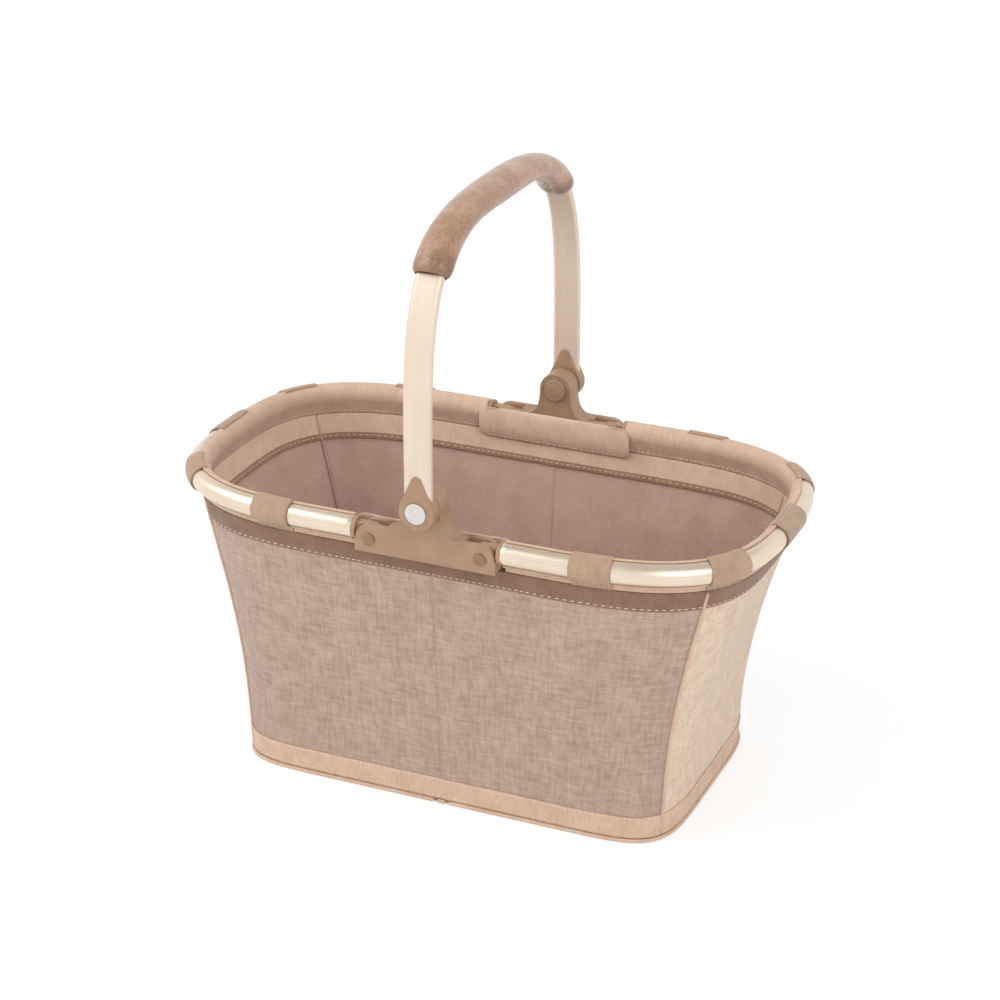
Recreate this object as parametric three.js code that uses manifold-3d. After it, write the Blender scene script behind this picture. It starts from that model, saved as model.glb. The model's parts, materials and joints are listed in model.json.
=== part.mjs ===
// A folding shopping basket: a cloth tub hung on two U-shaped rim tubes, which hinge on a
// block in the middle of the front and of the back, and a swing handle on the same blocks.
// Millimetres, +Z up. The origin is the middle of the base, on the floor.
// X runs along the basket's length, and the front faces -Y.
import * as THREE from "three";
import { mergeVertices } from "three/addons/utils/BufferGeometryUtils.js";
import Module from "manifold-3d";

const wasm = await Module();
wasm.setup();

// Rim: the tubes' centre line, seen from above, is a straight run in the middle of each
// long side and a superellipse round each end.
const rimHalfLength = 229;
const rimHalfWidth = 123;
const rimHeight = 228;
const rimPower = 3;
const tubeRadius = 8.5;
const tubeWall = 1.2;

// Base: the outline of the bottom, its cloth and the stiff boards on it.
const baseHalfLength = 178;
const baseHalfWidth = 105;
const basePower = 5.5;
const clothThickness = 2;
const boardThickness = 3;
const boardInset = 5;

// Walls: where the seam between a long side and an end runs, as an angle round the end, how far
// inside the rim they hang, and how far the stretched cloth bows in half way up.
const seamAngle = 42;
const wallInset = 3;
const endBow = 11;
const sideBow = 2.5;

// Hem: the cloth sleeve on the tube. It is cut away on the outside, apart from the loops,
// which are placed by their distance along the rim from the middle of the long side.
const hemThickness = 1.2;
const hemTopAngle = 170;
const hemBottomAngle = -15;
const sideLoops = [126, 224];
const loopLength = 30;
const endLoopLength = 40;

// Hinge blocks and the rim tubes' plugs.
const pinSpread = 44;
const pinDrop = 4;
const pinRadius = 2.5;
const pinHeadRadius = 4.6;
const pinHeadHeight = 1.5;
const blockHalfHeight = 11;
const blockThickness = 17;
const lugRadius = 13;
const lugFlare = 11;
const tongueThickness = 7;
const collarLength = 3;
const plugLength = 18;

// Handle: a flat tube bent to an arch, with a shoe on each foot and a grip on top.
const pivotRise = 29;
const handleReach = 201;
const archPower = 3.5;
const barWidth = 23;
const barThickness = 7.5;
const barWall = 1.2;
const pivotRadius = 4;
const pivotHeadRadius = 8;
const pivotHeadHeight = 1.8;
const washerThickness = 1.4;
const washerRadius = 11;
const shoeWall = 1.2;
const shoeRadius = 14;
const shoeHeight = 28;
const shoeTipRadius = 4;
const gripLength = 248;
const gripWidth = 30;
const gripThickness = 21;

// Clearances: pieces that touch, and pieces that turn in each other.
const fitGap = 0.3;
const runGap = 0.4;

// How many sides a round tube has, and how far apart the steps of a sweep are.
const tubeSides = 12;
const rodSides = 12;
const rimStep = 18;
const handleStep = 12;

// Worked-out sizes
const collarStart = pinSpread + Math.max(blockHalfHeight, pinRadius) + 1;
const tubeStart = collarStart + collarLength + fitGap;
const sideStraight = tubeStart + plugLength + 1;
const pinHeight = rimHeight - pinDrop;
const pivotHeight = rimHeight + pivotRise;
const blockOuter = rimHalfWidth + blockThickness / 2;
const blockInner = rimHalfWidth - blockThickness / 2;
const shoeInner = Math.max(
  blockOuter + 2 * fitGap + washerThickness,
  rimHalfWidth + tubeRadius + fitGap + hemThickness + fitGap,
);
const shoeThickness = barThickness + 2 * (fitGap + shoeWall);
const legSpread = shoeInner + shoeThickness / 2;
const shoeOuter = shoeInner + shoeThickness;
const barStart = pivotRadius + fitGap + 3.2;
const legStraight = shoeHeight + 2;
const hemInner = tubeRadius + fitGap;
const hemOuter = hemInner + hemThickness;
const wallDrop = Math.max(pinDrop + blockHalfHeight, hemOuter) + fitGap;
const wallTop = rimHeight - wallDrop;
const wallBottom = clothThickness + runGap;
const foldHeight = clothThickness / 2;
const foldHalfWidth = foldHeight + fitGap + boardThickness + 0.7;

// Finishes
const finish = (color, roughness, metalness) => new THREE.MeshStandardMaterial({ color, roughness, metalness });
const champagneAluminium = finish(0xe6d3b6, 0.3, 1);
const steel = finish(0xd5d2cc, 0.3, 1);
const brownPlastic = finish(0x7f6243, 0.55, 0);
const gripLeather = finish(0x9d6a3f, 0.6, 0);
const taupeCloth = finish(0xa78f80, 0.9, 0);
const creamCloth = finish(0xd6b79e, 0.9, 0);
const hemCloth = finish(0x8f7460, 0.9, 0);
const greyBoard = finish(0x6f655d, 0.8, 0);

// Booleans
function toSolid(geometry) {
  const bare = geometry.clone();
  bare.deleteAttribute("normal");
  bare.deleteAttribute("uv");
  const merged = mergeVertices(bare, 1e-4);
  return new wasm.Manifold(
    new wasm.Mesh({
      numProp: 3,
      vertProperties: Float32Array.from(merged.attributes.position.array),
      triVerts: Uint32Array.from(merged.index.array),
    }),
  );
}

function toGeometry(solid) {
  const mesh = solid.getMesh();
  const geometry = new THREE.BufferGeometry();
  geometry.setAttribute("position", new THREE.BufferAttribute(mesh.vertProperties, 3));
  geometry.setIndex(new THREE.BufferAttribute(mesh.triVerts, 1));
  return geometry;
}

function cut(body, ...tools) {
  return toGeometry(tools.reduce((solid, tool) => solid.subtract(toSolid(tool)), toSolid(body)));
}

function join(body, ...others) {
  return toGeometry(others.reduce((solid, other) => solid.add(toSolid(other)), toSolid(body)));
}

// Curves and sections
//
// The half oval that the rim, the base and the handle share: a superellipse round the end,
// where turn goes from -1 to 1, and a straight run on each side of it, up to -2 and 2.
function halfOval({ straight, reach, halfWidth, power }, turn) {
  if (Math.abs(turn) > 1) {
    return { along: straight * (2 - Math.abs(turn)), across: Math.sign(turn) * halfWidth };
  }
  const cosine = Math.cos((turn * Math.PI) / 2);
  const sine = Math.sin((turn * Math.PI) / 2);
  const stretch = (Math.abs(cosine) ** power + Math.abs(sine) ** power) ** (-1 / power);
  return { along: straight + (reach - straight) * cosine * stretch, across: halfWidth * sine * stretch };
}

const turnAt = (straight, along) => 2 - along / straight;

// A curve that lies in one plane. A section swept along it keeps its first axis on the
// plane's normal, and its second axis points to the left of the way the curve runs.
class FlatCurve extends THREE.Curve {
  constructor(normal) {
    super();
    this.normal = normal;
  }

  computeFrenetFrames(segments) {
    const steps = Array.from({ length: segments + 1 }, (_, index) => index / segments);
    const tangents = steps.map((step) => this.getTangentAt(step));
    const normals = steps.map(() => this.normal.clone());
    const binormals = tangents.map((tangent) => tangent.clone().cross(this.normal));
    return { tangents, normals, binormals };
  }
}

class RimCurve extends FlatCurve {
  constructor() {
    super(new THREE.Vector3(0, 0, -1));
  }

  getPoint(t) {
    const end = turnAt(sideStraight, tubeStart);
    const oval = { straight: sideStraight, reach: rimHalfLength, halfWidth: rimHalfWidth, power: rimPower };
    const { along, across } = halfOval(oval, THREE.MathUtils.lerp(-end, end, t));
    return new THREE.Vector3(along, across, rimHeight);
  }
}

class HandleCurve extends FlatCurve {
  constructor() {
    super(new THREE.Vector3(1, 0, 0));
  }

  getPoint(t) {
    const end = turnAt(legStraight, barStart);
    const oval = { straight: legStraight, reach: handleReach, halfWidth: legSpread, power: archPower };
    const { along, across } = halfOval(oval, THREE.MathUtils.lerp(-end, end, t));
    return new THREE.Vector3(0, across, pivotHeight + along);
  }
}

// A stretch of a curve, given as lengths from the curve's start.
class Stretch extends FlatCurve {
  constructor(curve, from, to) {
    super(curve.normal);
    this.curve = curve;
    this.from = from / curve.getLength();
    this.to = to / curve.getLength();
  }

  getPoint(t) {
    return this.curve.getPointAt(THREE.MathUtils.lerp(this.from, this.to, t));
  }
}

function arcPoints(radius, fromDegrees, toDegrees, steps) {
  return Array.from({ length: steps + 1 }, (_, index) => {
    const angle = THREE.MathUtils.degToRad(THREE.MathUtils.lerp(fromDegrees, toDegrees, index / steps));
    return new THREE.Vector2(radius * Math.cos(angle), radius * Math.sin(angle));
  });
}

const circle = (radius, sides) => arcPoints(radius, 0, 360, sides).slice(0, -1);

// A flat bar's section: straight faces with round edges, wide along the first axis.
function barSection(width, thickness) {
  const edge = thickness / 2;
  const middle = width / 2 - edge;
  const right = arcPoints(edge, -90, 90, 3).map((point) => point.add(new THREE.Vector2(middle, 0)));
  const left = arcPoints(edge, 90, 270, 3).map((point) => point.add(new THREE.Vector2(-middle, 0)));
  return [...right, ...left];
}

function ellipseSection(width, thickness, sides) {
  return circle(1, sides).map((point) => new THREE.Vector2((point.x * width) / 2, (point.y * thickness) / 2));
}

function ring(outer, inner) {
  const shape = new THREE.Shape(outer);
  shape.holes.push(new THREE.Path(inner));
  return shape;
}

function sweep(shape, curve, stepLength) {
  const steps = Math.ceil(curve.getLength() / stepLength);
  return new THREE.ExtrudeGeometry(shape, { steps, extrudePath: curve });
}

// A flat shape drawn in X and Z and given its thickness along Y.
function plate(shape, thickness, middleY) {
  const geometry = new THREE.ExtrudeGeometry(shape, { depth: thickness, bevelEnabled: false, curveSegments: 4 });
  geometry.rotateX(Math.PI / 2);
  return geometry.translate(0, middleY + thickness / 2, 0);
}

function rodAlongY(radius, fromY, toY, x, z) {
  const geometry = new THREE.CylinderGeometry(radius, radius, toY - fromY, rodSides);
  return geometry.translate(x, (fromY + toY) / 2, z);
}

function rodAlongX(radius, fromX, toX, y, z) {
  const geometry = new THREE.CylinderGeometry(radius, radius, toX - fromX, tubeSides);
  geometry.rotateZ(Math.PI / 2);
  return geometry.translate((fromX + toX) / 2, y, z);
}

// A rivet along Y: a shank with a flat head at each end, outside the stack it holds.
function rivet(radius, headRadius, headHeight, fromY, toY) {
  const low = fromY - fitGap;
  const high = toY + fitGap;
  const profile = [
    [0, low - headHeight],
    [headRadius - headHeight / 2, low - headHeight],
    [headRadius, low],
    [radius, low],
    [radius, high],
    [headRadius, high],
    [headRadius - headHeight / 2, high + headHeight],
    [0, high + headHeight],
  ].map(([x, y]) => new THREE.Vector2(x, y));
  return new THREE.LatheGeometry(profile, rodSides);
}

const basket = new THREE.Group();

function piece(parent, name, geometry, material) {
  const mesh = new THREE.Mesh(geometry, material);
  mesh.name = name;
  parent.add(mesh);
  return mesh;
}

// Hinge blocks, front and back. Each is drawn for the back and turned round for the front.
//
// The block carries a rim pin near each end, in a fork that takes the tube's tongue, and the
// handle on a lug in the middle. Below the pins its square ends stop the tubes at level.
function hingeBlock() {
  const bottom = -pinDrop - blockHalfHeight;
  const top = -pinDrop + blockHalfHeight;
  const stop = collarStart - fitGap;
  const lugRoot = lugRadius + lugFlare;
  const shape = new THREE.Shape();
  shape.moveTo(-stop, bottom);
  shape.lineTo(stop, bottom);
  shape.lineTo(stop, -pinDrop - 1);
  shape.lineTo(pinSpread + Math.sqrt(blockHalfHeight ** 2 - 1), -pinDrop - 1);
  shape.absarc(pinSpread, -pinDrop, blockHalfHeight, 0, Math.PI / 2, false);
  shape.lineTo(lugRoot, top);
  shape.quadraticCurveTo(lugRadius, top, lugRadius, pivotRise);
  shape.absarc(0, pivotRise, lugRadius, 0, Math.PI, false);
  shape.quadraticCurveTo(-lugRadius, top, -lugRoot, top);
  shape.lineTo(-pinSpread, top);
  shape.absarc(-pinSpread, -pinDrop, blockHalfHeight, Math.PI / 2, Math.PI, false);
  shape.lineTo(-pinSpread - Math.sqrt(blockHalfHeight ** 2 - 1), -pinDrop - 1);
  shape.lineTo(-stop, -pinDrop - 1);
  const body = plate(shape, blockThickness, rimHalfWidth).translate(0, 0, rimHeight);

  const slotStart = pinSpread - Math.max(pinDrop + tubeRadius, blockHalfHeight) - 2 * runGap;
  const slotLength = collarStart - slotStart + 1;
  const slotWidth = tongueThickness + 2 * runGap;
  const slotHeight = 2 * blockHalfHeight + 2;
  const tools = [rodAlongY(pivotRadius + fitGap, blockInner - 1, blockOuter + 1, 0, pivotHeight)];
  for (const side of [-1, 1]) {
    const slot = new THREE.BoxGeometry(slotLength, slotWidth, slotHeight);
    tools.push(slot.translate(side * (slotStart + slotLength / 2), rimHalfWidth, pinHeight));
    tools.push(rodAlongY(pinRadius + fitGap, blockInner - 1, blockOuter + 1, side * pinSpread, pinHeight));
  }
  return cut(body, ...tools);
}

// The shoe is a round foot on the pivot. Its two cheeks run up the faces of the handle's bar,
// whose end sits between them, and narrow to a round tip.
function handleShoe() {
  const round = Math.max(shoeRadius, barWidth / 2 + fitGap + shoeWall);
  const tipHeight = shoeHeight - shoeTipRadius;
  const slope = Math.asin((round - shoeTipRadius) / tipHeight);
  const shape = new THREE.Shape();
  shape.absarc(0, 0, round, Math.PI - slope, 2 * Math.PI + slope, false);
  shape.absarc(0, tipHeight, shoeTipRadius, slope, Math.PI - slope, false);
  const body = plate(shape, shoeThickness, legSpread).translate(0, 0, pivotHeight);

  const socketSection = new THREE.Shape(barSection(barWidth + 2 * fitGap, barThickness + 2 * fitGap));
  const socketBottom = barStart - fitGap;
  const socketDepth = shoeHeight - socketBottom + 1;
  const socket = new THREE.ExtrudeGeometry(socketSection, { depth: socketDepth, bevelEnabled: false });
  socket.translate(0, legSpread, pivotHeight + socketBottom);
  return cut(
    body,
    socket,
    rodAlongY(pivotRadius + fitGap, shoeInner - 1, shoeOuter + 1, 0, pivotHeight),
  );
}

function washer() {
  const low = blockOuter + fitGap;
  const high = shoeInner - fitGap;
  const bore = pivotRadius + fitGap;
  const profile = [
    [bore, low],
    [washerRadius, low],
    [washerRadius, high],
    [bore, high],
    [bore, low],
  ].map(([x, y]) => new THREE.Vector2(x, y));
  return new THREE.LatheGeometry(profile, rodSides);
}

for (const [face, turn, sides] of [
  ["back", 0, { left: -1, right: 1 }],
  ["front", Math.PI, { left: 1, right: -1 }],
]) {
  const group = new THREE.Group();
  group.rotation.z = turn;
  basket.add(group);
  piece(group, `${face}_hinge_block`, hingeBlock(), brownPlastic);
  for (const [side, sign] of Object.entries(sides)) {
    const pin = rivet(pinRadius, pinHeadRadius, pinHeadHeight, blockInner, blockOuter);
    piece(group, `${face}_${side}_rim_pin`, pin.translate(sign * pinSpread, 0, pinHeight), steel);
  }
  const pivot = rivet(pivotRadius, pivotHeadRadius, pivotHeadHeight, blockInner, shoeOuter);
  piece(group, `${face}_handle_pin`, pivot.translate(0, 0, pivotHeight), steel);
  piece(group, `${face}_handle_washer`, washer().translate(0, 0, pivotHeight), brownPlastic);
  piece(group, `${face}_handle_shoe`, handleShoe(), brownPlastic);
}

// Handle: the bar is one flat tube bent to an arch, and the grip is a soft sleeve on its crown.
const handleCurve = new HandleCurve();
const barOutside = barSection(barWidth, barThickness);
const barHollow = barSection(barWidth - 2 * barWall, barThickness - 2 * barWall);
piece(basket, "handle_tube", sweep(ring(barOutside, barHollow), handleCurve, handleStep), champagneAluminium);

const gripBore = barSection(barWidth + 2 * fitGap, barThickness + 2 * fitGap);
const gripMiddle = handleCurve.getLength() / 2;
const gripStretch = new Stretch(handleCurve, gripMiddle - gripLength / 2, gripMiddle + gripLength / 2);
const gripSection = ring(ellipseSection(gripWidth, gripThickness, 14), gripBore);
piece(basket, "handle_grip", sweep(gripSection, gripStretch, handleStep), gripLeather);

// Rim halves, right and left. Each is drawn for the right and turned round for the left, so
// that what is at the front on the right is at the back on the left.
const rimCurve = new RimCurve();

// The plug closes the tube's end and carries the tongue that turns on the rim pin.
function tubePlug(sign) {
  const tongueRadius = blockHalfHeight - 1.5;
  const tongueTop = pinDrop + tubeRadius;
  const root = collarStart + collarLength / 2;
  const shape = new THREE.Shape();
  shape.moveTo(pinSpread, -pinDrop + tongueRadius);
  shape.absarc(pinSpread, -pinDrop, tongueRadius, Math.PI / 2, 1.5 * Math.PI, false);
  shape.lineTo(collarStart - fitGap, -pinDrop - tongueRadius);
  shape.lineTo(root, pinDrop - tubeRadius);
  shape.lineTo(root, Math.min(tongueTop, tongueRadius) - pinDrop);
  const tongue = plate(shape, tongueThickness, sign * rimHalfWidth).translate(0, 0, rimHeight);
  const middle = sign * rimHalfWidth;
  const collar = rodAlongX(tubeRadius, collarStart, collarStart + collarLength, middle, rimHeight);
  const spigotRadius = (tubeRadius - tubeWall) * Math.cos(Math.PI / tubeSides) - fitGap;
  const spigot = rodAlongX(spigotRadius, collarStart + 1, tubeStart + plugLength, middle, rimHeight);
  const bore = rodAlongY(pinRadius + fitGap, middle - tongueThickness, middle + tongueThickness, pinSpread, pinHeight);
  return cut(join(tongue, collar, spigot), bore);
}

// The hem's section, drawn as seen along the tube: the first axis points down and the second
// points into the basket. Below the tube it ends in the flange that the walls are sewn to.
function hemSection() {
  const flangeFrom = wallInset - clothThickness / 2;
  const flangeTo = wallInset + clothThickness / 2;
  const flangeEnd = wallDrop - fitGap;
  const angleAt = (height) => THREE.MathUtils.radToDeg(Math.asin(height / hemOuter));
  return new THREE.Shape([
    ...arcPoints(hemOuter, hemBottomAngle, angleAt(flangeFrom), 1),
    new THREE.Vector2(flangeEnd, flangeFrom),
    new THREE.Vector2(flangeEnd, flangeTo),
    ...arcPoints(hemOuter, angleAt(flangeTo), hemTopAngle, 5),
    ...arcPoints(hemInner, hemTopAngle, hemBottomAngle, 8),
  ]);
}

// A loop closes the hem round the outside of the tube.
function loopSection() {
  const skin = hemThickness / 10;
  const lap = 8;
  const from = hemTopAngle - lap;
  const to = hemBottomAngle + 360 + lap;
  return new THREE.Shape([
    ...arcPoints(hemOuter - skin, from, to, 6),
    ...arcPoints(hemInner + skin, to, from, 6),
  ]);
}

function rimHem() {
  const length = rimCurve.getLength();
  const loops = [[length / 2 - endLoopLength / 2, length / 2 + endLoopLength / 2]];
  for (const middle of sideLoops) {
    const from = middle - tubeStart - loopLength / 2;
    loops.push([from, from + loopLength], [length - from - loopLength, length - from]);
  }
  const sleeve = sweep(hemSection(), new Stretch(rimCurve, fitGap, length - fitGap), rimStep);
  const bands = loops.map(([from, to]) => sweep(loopSection(), new Stretch(rimCurve, from, to), rimStep / 2));
  return join(sleeve, ...bands);
}

// The walls run from the base's outline up to the rim's. A wall is a box bent to that shape:
// its first side goes round the outline, its second up the wall and its third outwards.
function wallPoint(turn, rise, inward) {
  const mix = (low, high) => THREE.MathUtils.lerp(low, high, rise);
  const bow = Math.sin(Math.PI * rise);
  const oval = {
    straight: sideStraight,
    reach: mix(baseHalfLength, rimHalfLength - wallInset + clothThickness / 2) - endBow * bow - inward,
    halfWidth: mix(baseHalfWidth, rimHalfWidth - wallInset + clothThickness / 2) - sideBow * bow - inward,
    power: mix(basePower, rimPower),
  };
  const { along, across } = halfOval(oval, turn);
  return new THREE.Vector3(along, across, mix(wallBottom, wallTop));
}

function wall(fromTurn, toTurn, stepsAround) {
  const geometry = new THREE.BoxGeometry(1, 1, 1, stepsAround, 4, 1);
  const position = geometry.attributes.position;
  for (let index = 0; index < position.count; index += 1) {
    const turn = THREE.MathUtils.lerp(fromTurn, toTurn, position.getX(index) + 0.5);
    const rise = position.getY(index) + 0.5;
    const inward = (0.5 - position.getZ(index)) * clothThickness;
    position.setXYZ(index, ...wallPoint(turn, rise, inward));
  }
  return geometry;
}

// Half of the base's outline, from the fold line round the end, as a flat slab.
function baseSlab(inset, foldEdge, thickness, bottom) {
  const oval = {
    straight: sideStraight,
    reach: baseHalfLength - inset,
    halfWidth: baseHalfWidth - inset,
    power: basePower,
  };
  const stepsAround = 20;
  const points = Array.from({ length: stepsAround + 1 }, (_, index) => {
    const { along, across } = halfOval(oval, THREE.MathUtils.lerp(-1, 1, index / stepsAround));
    return new THREE.Vector2(along, across);
  });
  const front = new THREE.Vector2(foldEdge, -oval.halfWidth);
  const back = new THREE.Vector2(foldEdge, oval.halfWidth);
  const shape = new THREE.Shape([front, ...points, back]);
  const slab = new THREE.ExtrudeGeometry(shape, { depth: thickness, bevelEnabled: false });
  return slab.translate(0, 0, bottom);
}

const seamTurn = seamAngle / 90;
const seamGapTurn = fitGap / baseHalfWidth;
const middleTurn = turnAt(sideStraight, fitGap / 2);
const boardBottom = clothThickness + fitGap;
const foldEdge = foldHalfWidth + fitGap;

for (const [side, turn, near, far] of [
  ["right", 0, "front", "back"],
  ["left", Math.PI, "back", "front"],
]) {
  const group = new THREE.Group();
  group.rotation.z = turn;
  basket.add(group);
  const tubeSection = ring(circle(tubeRadius, tubeSides), circle(tubeRadius - tubeWall, tubeSides));
  piece(group, `${side}_rim_tube`, sweep(tubeSection, rimCurve, rimStep), champagneAluminium);
  piece(group, `${side}_${near}_plug`, tubePlug(-1), brownPlastic);
  piece(group, `${side}_${far}_plug`, tubePlug(1), brownPlastic);
  piece(group, `${side}_rim_hem`, rimHem(), hemCloth);
  piece(group, `${near}_${side}_panel`, wall(-middleTurn, -seamTurn - seamGapTurn, 12), taupeCloth);
  piece(group, `${far}_${side}_panel`, wall(seamTurn + seamGapTurn, middleTurn, 12), taupeCloth);
  piece(group, `${side}_end_panel`, wall(-seamTurn, seamTurn, 8), creamCloth);
  piece(group, `${side}_bottom_panel`, baseSlab(0, foldEdge, clothThickness, 0), taupeCloth);
  piece(group, `${side}_base_board`, baseSlab(boardInset, foldEdge, boardThickness, boardBottom), greyBoard);
}

// The strip of cloth left free between the two halves of the base, which is their hinge.
const strip = new THREE.BoxGeometry(2 * foldHalfWidth, 2 * baseHalfWidth, foldHeight);
piece(basket, "base_fold_strip", strip.translate(0, 0, foldHeight / 2), hemCloth);

export default basket;
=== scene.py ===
import bisect
import json
import math

import bmesh
import bpy
from mathutils import Matrix, Vector


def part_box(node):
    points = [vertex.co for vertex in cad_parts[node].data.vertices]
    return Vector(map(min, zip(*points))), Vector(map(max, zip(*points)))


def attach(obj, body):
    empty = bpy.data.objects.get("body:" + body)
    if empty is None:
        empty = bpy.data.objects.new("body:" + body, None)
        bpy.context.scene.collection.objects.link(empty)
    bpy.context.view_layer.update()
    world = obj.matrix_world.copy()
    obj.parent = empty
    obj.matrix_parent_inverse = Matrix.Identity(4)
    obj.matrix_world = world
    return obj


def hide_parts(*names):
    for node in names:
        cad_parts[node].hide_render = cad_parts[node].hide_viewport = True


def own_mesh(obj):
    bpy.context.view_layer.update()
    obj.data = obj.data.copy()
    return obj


# A folding shopping basket: a cloth tub hung on a hinged aluminium rim, with a swing handle.
# Metres, +Z up. X runs along the basket's length, and the front faces -Y.
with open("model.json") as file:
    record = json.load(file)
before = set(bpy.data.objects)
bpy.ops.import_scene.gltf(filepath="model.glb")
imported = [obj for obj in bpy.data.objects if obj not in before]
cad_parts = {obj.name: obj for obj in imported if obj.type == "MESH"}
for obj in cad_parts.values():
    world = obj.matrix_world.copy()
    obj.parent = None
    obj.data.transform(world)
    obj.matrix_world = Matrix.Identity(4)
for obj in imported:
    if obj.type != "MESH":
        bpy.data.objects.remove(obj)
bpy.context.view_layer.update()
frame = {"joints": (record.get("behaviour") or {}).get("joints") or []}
mm = 0.001
up = Vector((0, 0, 1))


# Rim tubes
# Two U-shaped aluminium tubes, bent cold and anodised to a pale champagne. Each is half of
# the rim, and its ends are pushed over the plugs of the hinges.
joint_at = {joint["name"]: Vector(joint["pos_m"]) for joint in frame["joints"]}
rim_end = joint_at["right_wall_swing"]
tube_low, tube_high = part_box("right_rim_tube")
tube_radius = (tube_high.z - tube_low.z) / 2
tube_wall = 1.2 * mm
tube_start = tube_low.x
rim_half_width = tube_high.y - tube_radius
rim_power = 3.0
side_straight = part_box("right_back_plug")[1].x + 1 * mm
side_signs = {"left": -1, "right": 1}
face_signs = {"front": -1, "back": 1}
sharp_angle = math.radians(50)
weld_gap = 1e-6


def mix(low, high, share):
    return low + (high - low) * share


def half_oval(straight, reach, half_width, power, turn):
    """The right half of a long oval: a superellipse for turns from -1 to 1, then straight to -2 and 2."""
    if abs(turn) > 1:
        return Vector((straight * (2 - abs(turn)), math.copysign(half_width, turn), 0))
    cosine = abs(math.cos(turn * math.pi / 2))
    sine = math.sin(turn * math.pi / 2)
    stretch = (cosine**power + abs(sine) ** power) ** (-1 / power)
    return Vector((straight + (reach - straight) * cosine * stretch, half_width * sine * stretch, 0))


class Line:
    """A chain of close points, measured along its length."""

    def __init__(self, points):
        self.points = points
        self.marks = [0.0]
        for here, after in zip(points, points[1:]):
            self.marks.append(self.marks[-1] + (after - here).length)
        self.length = self.marks[-1]

    def share(self, distance):
        """Where a distance from the start falls, in steps from the first point."""
        index = min(max(bisect.bisect(self.marks, distance) - 1, 0), len(self.points) - 2)
        return index + (distance - self.marks[index]) / (self.marks[index + 1] - self.marks[index])

    def point(self, distance):
        steps = self.share(distance)
        index = min(max(int(steps), 0), len(self.points) - 2)
        return self.points[index].lerp(self.points[index + 1], steps - index)

    def direction(self, distance):
        reach = self.length / 400
        return (self.point(distance + reach) - self.point(distance - reach)).normalized()


def evenly(count):
    return [step / count for step in range(count + 1)]


def rim_point(turn):
    flat = half_oval(side_straight, rim_end.x, rim_half_width, rim_power, turn)
    return flat + up * rim_end.z


last_turn = 2 - tube_start / side_straight
rim_line = Line([rim_point(mix(-last_turn, last_turn, share)) for share in evenly(600)])


def bent_sheet(columns, rows, place, size, origin=(0, 0)):
    """A grid bent to place(across, rise), both from 0 to 1. Its UV map is the flat sheet, in metres."""
    mesh = bmesh.new()
    flat = mesh.loops.layers.uv.new("UVMap")
    bmesh.ops.create_grid(mesh, x_segments=columns, y_segments=rows, size=0.5)
    for face in mesh.faces:
        for loop in face.loops:
            across, rise = loop.vert.co.x + 0.5, loop.vert.co.y + 0.5
            loop[flat].uv = (origin[0] + across * size[0], origin[1] + rise * size[1])
    for vert in mesh.verts:
        vert.co = place(vert.co.x + 0.5, vert.co.y + 0.5)
    return mesh


def swept(line, level, columns, rows, section, span=None, girth=None):
    """A section swept along a line. section(along, around) says how far out and how high a point is."""
    start, stop = span or (0, line.length)

    def place(along, around):
        distance = mix(start, stop, along)
        out, rise = section(along, around)
        return line.point(distance) + line.direction(distance).cross(level) * out + level * rise

    return bent_sheet(columns, rows, place, (stop - start, girth or 1), (start, 0))


def closed(mesh):
    """Welds a tube's seam and turns its faces outwards."""
    bmesh.ops.remove_doubles(mesh, verts=mesh.verts, dist=weld_gap)
    bmesh.ops.recalc_face_normals(mesh, faces=mesh.faces)
    return mesh


def mirrored(mesh, side="right", face="back"):
    """Takes a mesh drawn for the right and the back to another side or face of the basket."""
    x, y = side_signs[side], face_signs[face]
    bmesh.ops.scale(mesh, vec=(x, y, 1), verts=mesh.verts)
    if x * y < 0:
        bmesh.ops.reverse_faces(mesh, faces=mesh.faces)
    return mesh


def new_object(name, mesh, *finishes):
    data = bpy.data.meshes.new(name)
    mesh.to_mesh(data)
    mesh.free()
    for finish in finishes:
        data.materials.append(finish)
    made = bpy.data.objects.new(name, data)
    bpy.context.scene.collection.objects.link(made)
    return made


def piece(name, mesh, finish, body, slot, *stands_for):
    """An object of a mesh in its finish, which rides on a body and may stand for nodes of the frame."""
    made = new_object(name, mesh, finish)
    made.data.shade_smooth()
    made.data.set_sharp_from_angle(angle=sharp_angle)
    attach(made, body)
    if stands_for:
        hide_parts(*stands_for)
    return made


def even_shading(made):
    """Keeps a piece's large faces looking flat beside its rounded edges."""
    made.modifiers.new("Flat faces", "WEIGHTED_NORMAL").keep_sharp = True
    return made


def thicken(made, thickness, offset=-1, inner_slot=0):
    """Gives a sheet its thickness, inwards for an offset of -1 and to both sides for 0."""
    wall = made.modifiers.new("Thickness", "SOLIDIFY")
    wall.thickness = thickness
    wall.offset = offset
    wall.use_even_offset = True
    wall.material_offset = inner_slot
    return even_shading(made)


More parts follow.
